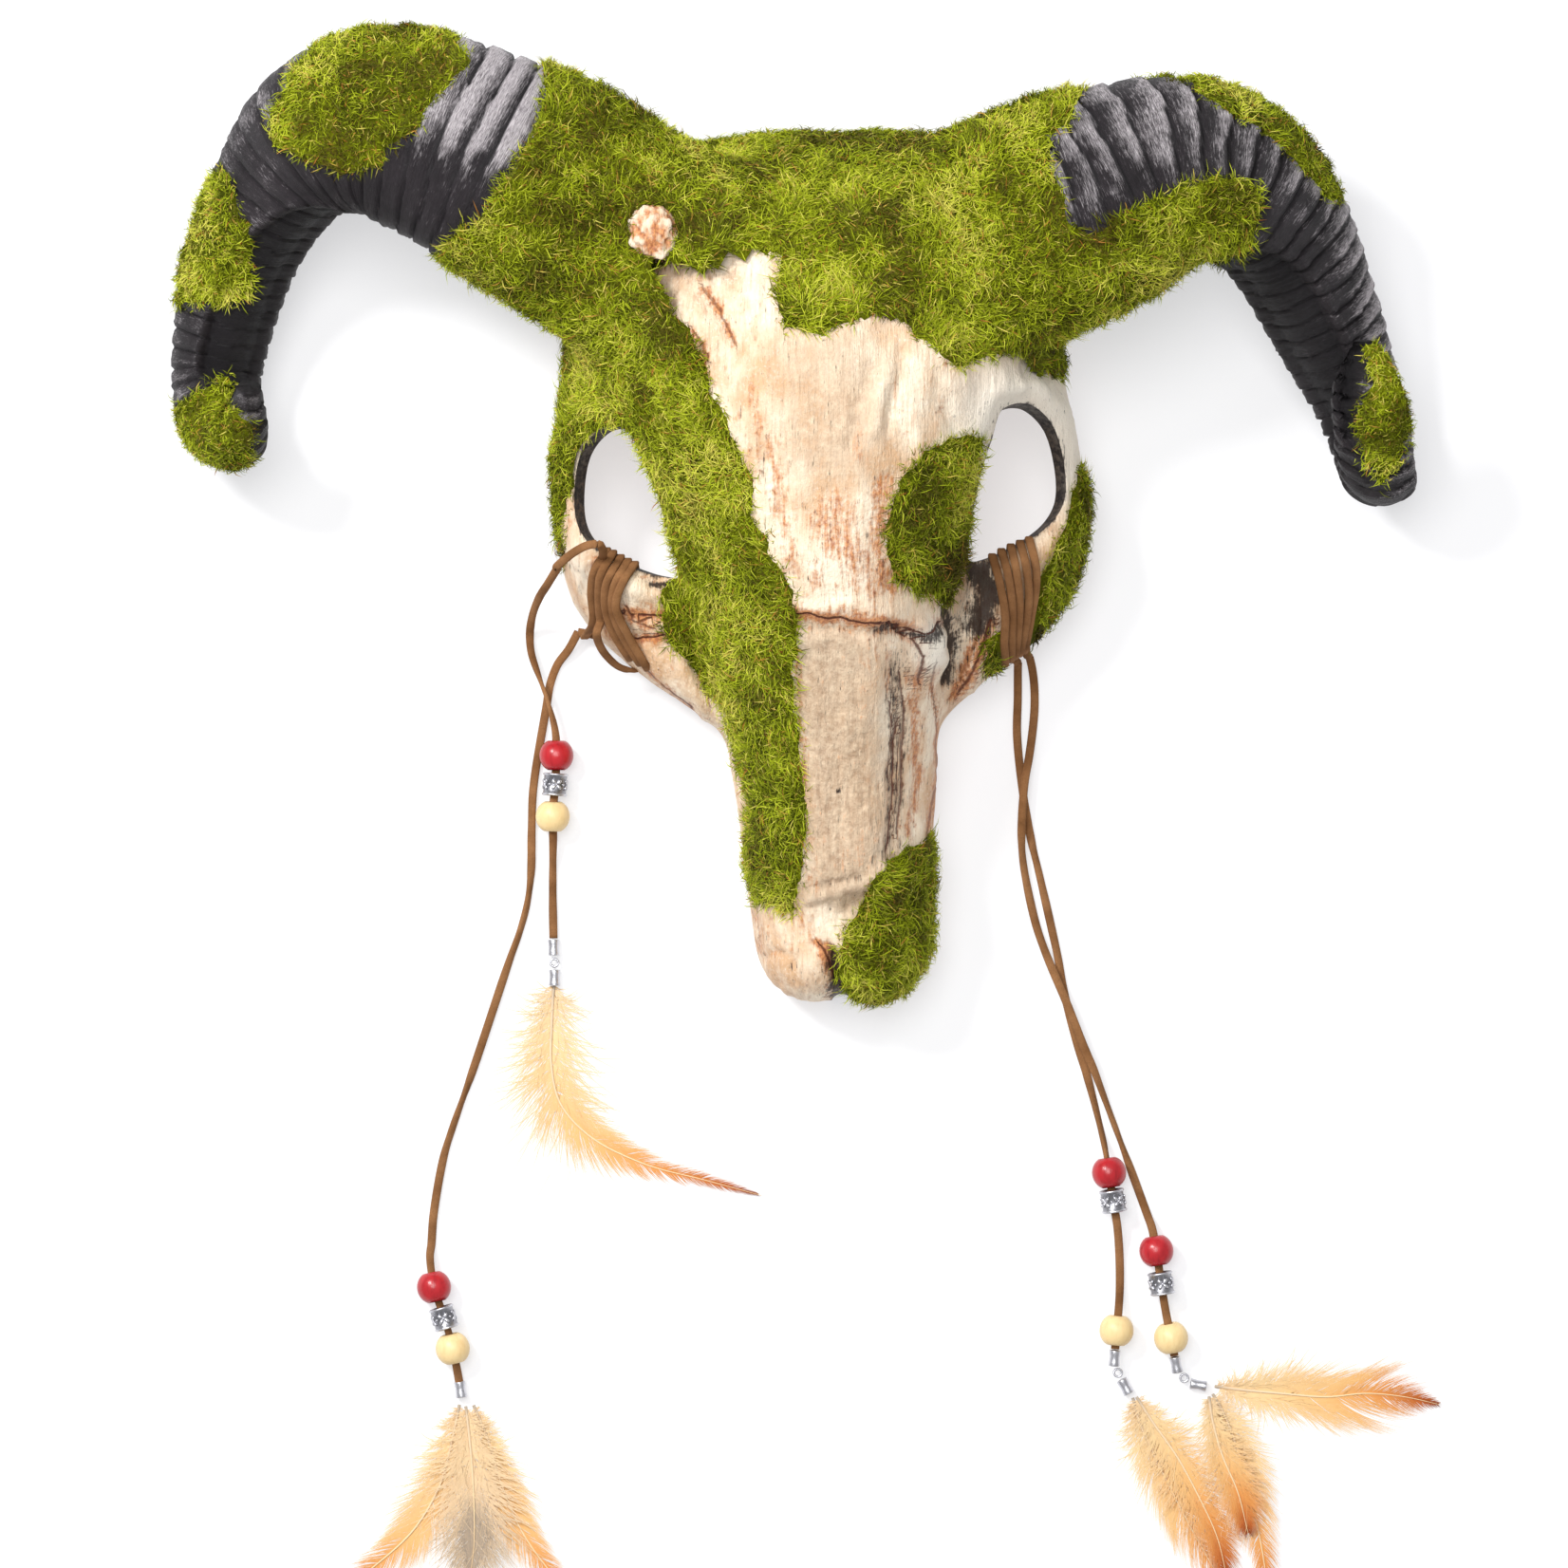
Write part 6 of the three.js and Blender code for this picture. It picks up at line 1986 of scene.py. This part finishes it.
@dataclass
class Threaded:
    """Beads, barrels, crimps and rings, each put where its CAD node lies."""

    finishes: Finishes
    bead_radius: float = 5.0
    bead_half: float = 4.3
    bead_cut: float = 62.0
    flowers: int = 5
    barrel_radius: float = 3.3
    ring_radius: float = 1.15
    wire_radius: float = 0.36
    wire_sides: int = 10

    def _spun(self, profile: Sequence[tuple[float, float]], steps: int) -> bmesh.types.BMesh:
        """Spins a closed profile of radius and height round Y, millimetres.

        Args:
            profile: radius and height of each corner.
            steps: sides round the axis.

        Returns:
            The spun form.
        """
        shape = bmesh.new()
        made = [shape.verts.new((r * MM, y * MM, 0)) for r, y in profile]
        edges = [shape.edges.new((a, b)) for a, b in zip(made, made[1:] + made[:1])]
        bmesh.ops.spin(shape, geom=made + edges, cent=(0, 0, 0), axis=(0, 1, 0), angle=2 * math.pi,
                       steps=steps, use_merge=True)
        bmesh.ops.remove_doubles(shape, verts=shape.verts, dist=1e-7)
        return shape

    def _bead(self) -> bmesh.types.BMesh:
        """A round wooden bead with flat bored ends.

        Returns:
            The form.
        """
        outer = []
        for k in range(13):
            angle = math.radians(-self.bead_cut + 2 * self.bead_cut * k / 12)
            outer.append((self.bead_radius * math.cos(angle) ** 0.9,
                          self.bead_half * math.sin(angle) / math.sin(math.radians(self.bead_cut))))
        profile = [(1.7, -3.9), (2.0, -4.25)] + outer + [(2.0, 4.25), (1.7, 3.9)]
        return self._spun(profile, 40)

    def _barrel(self) -> bmesh.types.BMesh:
        """A silver barrel with rolled rims and raised four-petalled flowers.

        Returns:
            The form.
        """
        profile = [(2.2, -3.3), (3.3, -3.3), (3.7, -3.1), (3.7, -2.75), (3.35, -2.55), (3.3, 0),
                   (3.35, 2.55),
                   (3.7, 2.75), (3.7, 3.1), (3.3, 3.3), (2.2, 3.3)]
        shape = self._spun(profile, 36)
        flowers = self.flowers
        for k in range(flowers):
            turn = Matrix.Rotation(2 * math.pi * k / flowers, 4, "Y")
            for petal in range(4):
                swing = math.radians(45 + 90 * petal)
                place = Vector((math.cos(swing) * 1.05 * MM, math.sin(swing) * 1.05 * MM,
                                self.barrel_radius * MM))
                size = Matrix.Diagonal((0.95 * MM, 0.55 * MM, 0.42 * MM, 1.0))
                where = turn @ Matrix.Translation(place) @ Matrix.Rotation(swing, 4, "Z") @ size
                bmesh.ops.create_uvsphere(shape, u_segments=8, v_segments=5, radius=1.0,
                                          matrix=where)
            dot = turn @ Matrix.Translation((0, 0, 3.35 * MM))
            bmesh.ops.create_uvsphere(shape, u_segments=8, v_segments=5, radius=0.42 * MM,
                                      matrix=dot)
            gap = Matrix.Rotation(2 * math.pi * (k + 0.5) / flowers, 4,
                                  "Y") @ Matrix.Translation((0, 0, self.barrel_radius * MM))
            bmesh.ops.create_uvsphere(shape, u_segments=8, v_segments=5, radius=0.4 * MM,
                                      matrix=gap)
        return shape

    def _crimp(self) -> bmesh.types.BMesh:
        """A rolled silver tube, pinched in its middle."""
        profile = [(1.2, -2.3), (1.6, -2.3), (1.65, -2.1), (1.5, -0.9), (1.42, 0), (1.5, 0.9),
                   (1.65, 2.1),
                   (1.6, 2.3), (1.2, 2.3)]
        return self._spun(profile, 20)

    def _ring(self) -> bmesh.types.BMesh:
        """A small open ring of round wire, lying flat.

        Returns:
            The form.
        """
        circle = []
        for k in range(self.wire_sides):
            angle = 2 * math.pi * k / self.wire_sides
            circle.append((self.ring_radius + self.wire_radius * math.cos(angle),
                           self.wire_radius * math.sin(angle)))
        return self._spun(circle, 24)

    def build(self, kind: Kind, end: str, direction: Array) -> bpy.types.Object:
        """Makes a piece at its CAD node's middle.

        Args:
            kind: what it is.
            end: the lace end that it is on.
            direction: the way that its bore runs.

        Returns:
            The finished piece.
        """
        node = f"{kind.value}_{end}"
        makers: dict[Kind, Callable[[], bmesh.types.BMesh]] = {
            Kind.RED: self._bead, Kind.CREAM: self._bead, Kind.BARREL: self._barrel,
            Kind.CRIMP: self._crimp, Kind.FEATHER_CRIMP: self._crimp, Kind.RING: self._ring,
        }
        looks = {Kind.RED: (self.finishes.red, "red_wood"),
                 Kind.CREAM: (self.finishes.cream, "cream_wood")}
        material, slot = looks.get(kind, (self.finishes.silver, "silver"))
        low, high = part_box(node)
        shape = makers[kind]()
        turn = Vector((0, 1, 0)).rotation_difference(Vector(direction)).to_matrix().to_4x4()
        if kind is Kind.RING:
            turn = Matrix.Rotation(math.radians(90), 4, "X")
        radius = [math.hypot(v.co.x, v.co.z) / MM for v in shape.verts]
        bmesh.ops.transform(shape, matrix=Matrix.Translation((low + high) / 2) @ turn,
                            verts=shape.verts)
        piece = bmesh_object(node + "_made", shape, material, [node])
        if material is self.finishes.silver:
            recess = [1.0 - min(1.0, max(0.0, (r - 3.25) / 0.3)) if kind is Kind.BARREL else 0.0
                      for r in radius]
            set_attribute(piece.data, "recess", np.array(recess))
        return piece


# Feathers: centre line [x, y, half width], layer, and the share of fluff at its foot
FEATHERS = {
    "feather_left_short": (0, 0.52, [
        [-77.6, -140.2, 3.5], [-78.1, -145, 8], [-78.5, -154, 12], [-78.6, -164, 14],
        [-76, -175.5, 12],
        [-67, -185.5, 8], [-51, -193.5, 4.6], [-34, -198, 3], [-17, -202.6, 0.5]]),
    "feather_left_long_a": (0, 0.4, [
        [-105.4, -263.8, 1.2], [-107.5, -274, 7], [-111, -287, 10.5], [-118.5, -300, 8.5],
        [-129, -310, 6], [-143, -320, 3.5], [-154, -326, 0.5]]),
    "feather_left_long_b": (1, 0.4, [
        [-101.2, -263.8, 1.2], [-97, -274, 5], [-93, -287, 8.5], [-87.5, -300, 7],
        [-80, -311, 5], [-71, -321, 3], [-63, -328, 0.5]]),
    "feather_left_long_c": (2, 1.0, [
        [-103.4, -264, 1.2], [-102.5, -272, 7], [-101.5, -283, 13], [-101, -294, 13.5],
        [-101, -304, 7.5], [-102, -313, 1]]),
    "feather_right_inner_a": (0, 0.35, [
        [91.6, -261.8, 1.4], [94, -270, 7], [99, -281, 10], [105, -293, 9.5], [112, -306, 6.5],
        [120, -319, 3.5], [128, -330, 0.5]]),
    "feather_right_inner_b": (1, 0.8, [
        [92.6, -261.4, 1.4], [97.5, -269, 6], [104.5, -279, 9], [110.5, -290, 8.5],
        [116, -302, 6], [119, -314, 1]]),
    "feather_right_outer_a": (0, 0.4, [
        [115.5, -258.4, 1.4], [124, -259.5, 7], [135, -260.5, 11], [148, -261.5, 13.5],
        [160, -260.5, 9], [171, -261.5, 4.5], [181.5, -263.8, 0.5]]),
    "feather_right_outer_b": (2, 0.35, [
        [114.8, -260.4, 1.4], [118.4, -267, 6.5], [122, -277, 9], [125.4, -290, 8],
        [128.6, -303, 5.5], [130.6, -316, 3.5], [131.6, -328, 0.5]]),
    "feather_right_outer_c": (3, 0.9, [
        [113.6, -261, 1.4], [114.6, -268, 5], [117.4, -278, 7.5], [122, -289, 7], [125, -301, 1]]),
}


@dataclass
class Feather:
    """A soft feather: a tapering shaft with barbs that part, curl and turn to fluff at the foot."""

    node: str
    finishes: Finishes
    barbs: int = 250
    down: int = 260
    lowest: float = 0.8
    layer_rise: float = 1.45
    clumps: int = 40
    pieces: int = 4
    slant: float = 38.0
    soft_slant: float = 26.0
    shaft_sides: int = 5
    shaft_radius: tuple = (0.42, 0.08)
    grey_fluff: str = "feather_left_long_c"

    def __post_init__(self) -> None:
        self.layer, self.fluff, line = FEATHERS[self.node]
        self.line = smooth_path(np.array(line, float), 24)
        self.random = np.random.default_rng(SEED + sum(map(ord, self.node)))

    def build(self) -> bpy.types.Object:
        """Makes the barbs on both sides and the shaft as one mesh.

        Returns:
            The finished feather.
        """
        run = run_along(self.line[:, :2])
        share = run / run[-1]
        base_z = self.lowest + self.layer * self.layer_rise
        points, faces, uv = [], [], []
        rnd = self.random
        downy = self.node == self.grey_fluff
        for side in (-1, 1):
            clump = rnd.uniform(-1, 1, self.clumps)
            down = 0.015 + (self.fluff + 0.08) * rnd.random(self.down)
            for at in (*(0.01 + 0.98 * np.arange(self.barbs) / self.barbs),
                       *np.minimum(down, 0.97)):
                x, y, half = (float(np.interp(at, share, self.line[:, c])) for c in range(3))
                ahead = [float(np.interp(min(1, at + 0.02), share, self.line[:, c]))
                         for c in range(2)]
                behind = [float(np.interp(max(0, at - 0.02), share, self.line[:, c]))
                          for c in range(2)]
                way = unit(np.array([ahead[0] - behind[0], ahead[1] - behind[1]]))
                across = np.array([way[1], -way[0]]) * side
                soft = max(0.0, 1 - at / max(self.fluff, 0.01))
                gather = clump[int(at * (self.clumps - 1))] * 0.35
                slant = math.radians(self.slant + self.soft_slant * soft
                                     + rnd.normal() * (4 + 20 * soft)) + gather * 0.2
                reach = half / max(math.sin(slant), 0.4) * rnd.uniform(0.72, 1.1 + 0.25 * soft)
                curl = rnd.normal() * 0.6 * soft + 0.25
                wide = 0.4 + 0.1 * (1 - soft)
                base = len(points)
                for j in range(self.pieces + 1):
                    t = j / self.pieces
                    bend = slant - curl * t * 0.8
                    offset = across * math.sin(bend) * reach * t + way * math.cos(bend) * reach * t
                    lift = 0.25 * math.sin(math.pi * t) + soft * rnd.uniform(0, 0.9) * t
                    z = base_z + lift
                    thin = wide * (1 - 0.75 * t)
                    centre = np.array([x, y]) + offset
                    points.append([*(centre - way * thin / 2), z])
                    points.append([*(centre + way * thin / 2), z])
                    shade = max(0.005, 0.11 - 0.3
                                * max(0.0, at - 0.3)) + 0.02 * t if downy else 0.08 + 0.92 * at
                    uv += [[shade, t], [shade, t]]
                for j in range(self.pieces):
                    a = base + 2 * j
                    faces.append([a, a + 1, a + 3, a + 2] if side > 0 else [a, a + 2, a + 3, a + 1])
        self._shaft(points, faces, uv, share, base_z)
        piece = mesh_object(self.node + "_barbs", to_frame(np.array(points)), faces,
                            self.finishes.feather,
                            [self.node])
        set_uv(piece.data, "OFBake", np.array(uv))
        return piece

    def _shaft(self, points: list, faces: list, uv: list, share: Array, z: float) -> None:
        """Adds the shaft, five-sided and thinning to the tip.

        Args:
            points: the feather's points, added to.
            faces: its faces, added to.
            uv: its flat coordinates, added to.
            share: share of the length along the line.
            z: the feather's height.
        """
        sides = self.shaft_sides
        start = len(points)
        line = self.line[::3]
        shares = share[::3]
        for (x, y, _), at in zip(line, shares):
            i = np.searchsorted(share, at)
            ahead, behind = self.line[min(i + 1, len(self.line) - 1)], self.line[max(i - 1, 0)]
            way = unit(np.array([ahead[0] - behind[0], ahead[1] - behind[1]]))
            radius = self.shaft_radius[0] * (1 - at) + self.shaft_radius[1]
            for k in range(sides):
                angle = 2 * math.pi * k / sides
                out = math.cos(angle) * radius
                points.append([x + way[1] * out, y - way[0] * out,
                               z + 0.15 + math.sin(angle) * radius])
                uv.append([0.35 * at, 0.9])
        for j in range(len(line) - 1):
            for k in range(sides):
                a, b = start + j * sides + k, start + j * sides + (k + 1) % sides
                faces.append([a, b, b + sides, a + sides])


@dataclass(frozen=True)
class Studio:
    """Plain pale floor, soft light from above and the camera over the mask."""

    distance: float = 2000.0
    view_width: float = 458.9
    view_middle: tuple = (-10.48, -82.24)
    sensor: float = 36.0
    floor_size: float = 3.0
    floor_shade: tuple = (0.46, 0.46, 0.465, 1)
    floor_glow: float = 0.55
    surround: float = 0.4

    def build(self) -> None:
        """Makes floor, lights, world and camera."""
        self._floor()
        self._lights()
        self._camera()

    def _floor(self) -> None:
        """A pale flat floor."""
        shape = bmesh.new()
        bmesh.ops.create_grid(shape, x_segments=1, y_segments=1, size=self.floor_size)
        mesh = bpy.data.meshes.new("floor")
        shape.to_mesh(mesh)
        shape.free()
        s = Shader("floor", roughness=0.9, specular=0.1)
        mesh.materials.append(s.finish(base_color=self.floor_shade,
                                       emission_color=(0.98, 0.98, 1, 1),
                                       emission_strength=self.floor_glow))
        floor = bpy.data.objects.new("floor", mesh)
        bpy.context.scene.collection.objects.link(floor)

    def _lights(self) -> None:
        """A large lamp nearly overhead, one from the upper left, and a bright surround."""
        centre = Vector(to_frame(np.array([0.0, 0.0, 0.0])))
        for name, place, size, power in (
            ("overhead", (-0.2, 0.3, 1.9), 1.1, 23.0),
            ("upper_left", (-0.9, 0.75, 1.4), 0.35, 23.0),
        ):
            lamp = bpy.data.lights.new(name, "AREA")
            lamp.shape = "DISK"
            lamp.size = size
            lamp.energy = power
            holder = bpy.data.objects.new(name, lamp)
            holder.location = centre + Vector(place)
            holder.rotation_euler = (-Vector(place)).to_track_quat("-Z", "Y").to_euler()
            bpy.context.scene.collection.objects.link(holder)
        world = bpy.data.worlds.new("surround")
        world.use_nodes = True
        world.node_tree.nodes["Background"].inputs[0].default_value = (1, 1, 1, 1)
        world.node_tree.nodes["Background"].inputs[1].default_value = self.surround
        bpy.context.scene.world = world
        bpy.context.scene.view_settings.view_transform = "Standard"

    def _camera(self) -> None:
        """Straight above the picture's middle."""
        data = bpy.data.cameras.new("photo_view")
        data.sensor_width = self.sensor
        data.lens = self.sensor * self.distance / self.view_width
        data.clip_start, data.clip_end = 0.05, 20.0
        camera = bpy.data.objects.new("photo_view", data)
        camera.location = Vector(to_frame(np.array([*self.view_middle, self.distance])))
        bpy.context.scene.collection.objects.link(camera)
        bpy.context.scene.camera = camera


@dataclass
class Mask:
    """The whole mask, put together piece by piece."""

    finishes: Finishes = field(default_factory=Finishes)
    form: SkullForm = field(default_factory=SkullForm)

    def build(self) -> None:
        """Makes every piece."""
        skull = SkullFace(self.form, self.finishes)
        skull.build()
        left = Horn("horn_left", np.array(HORN_LEFT, float), self.finishes, LEFT_LOOK, self.form)
        right = Horn("horn_right", np.array(HORN_RIGHT, float), self.finishes, RIGHT_LOOK,
                     self.form)
        left.build()
        right.build()
        fillet = Fillet(self.form, skull.surface)
        surfaces = {"skull": skull.surface, "left": left.surface, "right": right.surface,
                    "left_root": fillet.surface(left.surface),
                    "right_root": fillet.surface(right.surface)}
        RootKnob(self.finishes, surfaces["left_root"]).build()
        shares = {"left": left.share, "right": right.share}
        moss = MossBuilder(self.finishes, self.form, surfaces, shares)
        for patch, parts in MATS:
            moss.build(patch, parts)
        self._laces()

    def _laces(self) -> None:
        """Makes both wound laces, the four loose ends and all that is on them."""
        left = Winding(self.form, LEFT_STRANDS, [ROUTES["lace_left_short"][0], *LEFT_LEAD],
                       [*LEFT_TAIL, ROUTES["lace_left_long"][0]], {1: LEFT_LOOP})
        right = Winding(self.form, RIGHT_STRANDS, [ROUTES["lace_right_outer"][0], *RIGHT_LEAD],
                        [*RIGHT_TAIL, ROUTES["lace_right_inner"][0]], clear=1.2)
        left.ribbon("lace_wound_left_strip",
                    LACE_WIDTH).build(self.finishes.suede, ["lace_wound_left"])
        right.ribbon("lace_wound_right_strip",
                     LACE_WIDTH).build(self.finishes.suede, ["lace_wound_right"])
        threaded = Threaded(self.finishes)
        for end in ("left_short", "left_long", "right_inner", "right_outer"):
            lace = FreeLace(f"lace_{end}", self.finishes)
            strip = lace.build()
            for kind in (Kind.RED, Kind.BARREL, Kind.CREAM, Kind.CRIMP, Kind.RING,
                         Kind.FEATHER_CRIMP):
                if end == "left_long" and kind in (Kind.CRIMP, Kind.RING):
                    continue
                threaded.build(kind, end, self._direction(kind, end, lace))
        for node in FEATHERS:
            Feather(node, self.finishes).build()

    def _direction(self, kind: Kind, end: str, lace: FreeLace) -> Array:
        """The way that a threaded piece's bore runs.

        Args:
            kind: what the piece is.
            end: the lace end that it is on.
            lace: that end.

        Returns:
            A direction of length 1.
        """
        towards = {"left_short": (0, -13.4), "left_long": (1.6, -11), "right_inner": (4.2, -7.6),
                   "right_outer": (11.6, -2)}
        if kind is Kind.FEATHER_CRIMP:
            return unit(np.array([*towards[end], 0.0]))
        low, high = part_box(f"{kind.value}_{end}")
        middle = (np.array(low) + np.array(high)) / 2
        line = to_frame(lace.line)
        i = int(np.argmin(np.linalg.norm(line - middle, axis=1)))
        a, b = line[max(i - 2, 0)], line[min(i + 2, len(line) - 1)]
        return unit(b - a)


def main() -> None:
    """Builds the mask and its studio."""
    logging.basicConfig(level=logging.INFO, format="%(message)s")
    Studio().build()
    Mask().build()


if __name__ == "__main__":
    main()
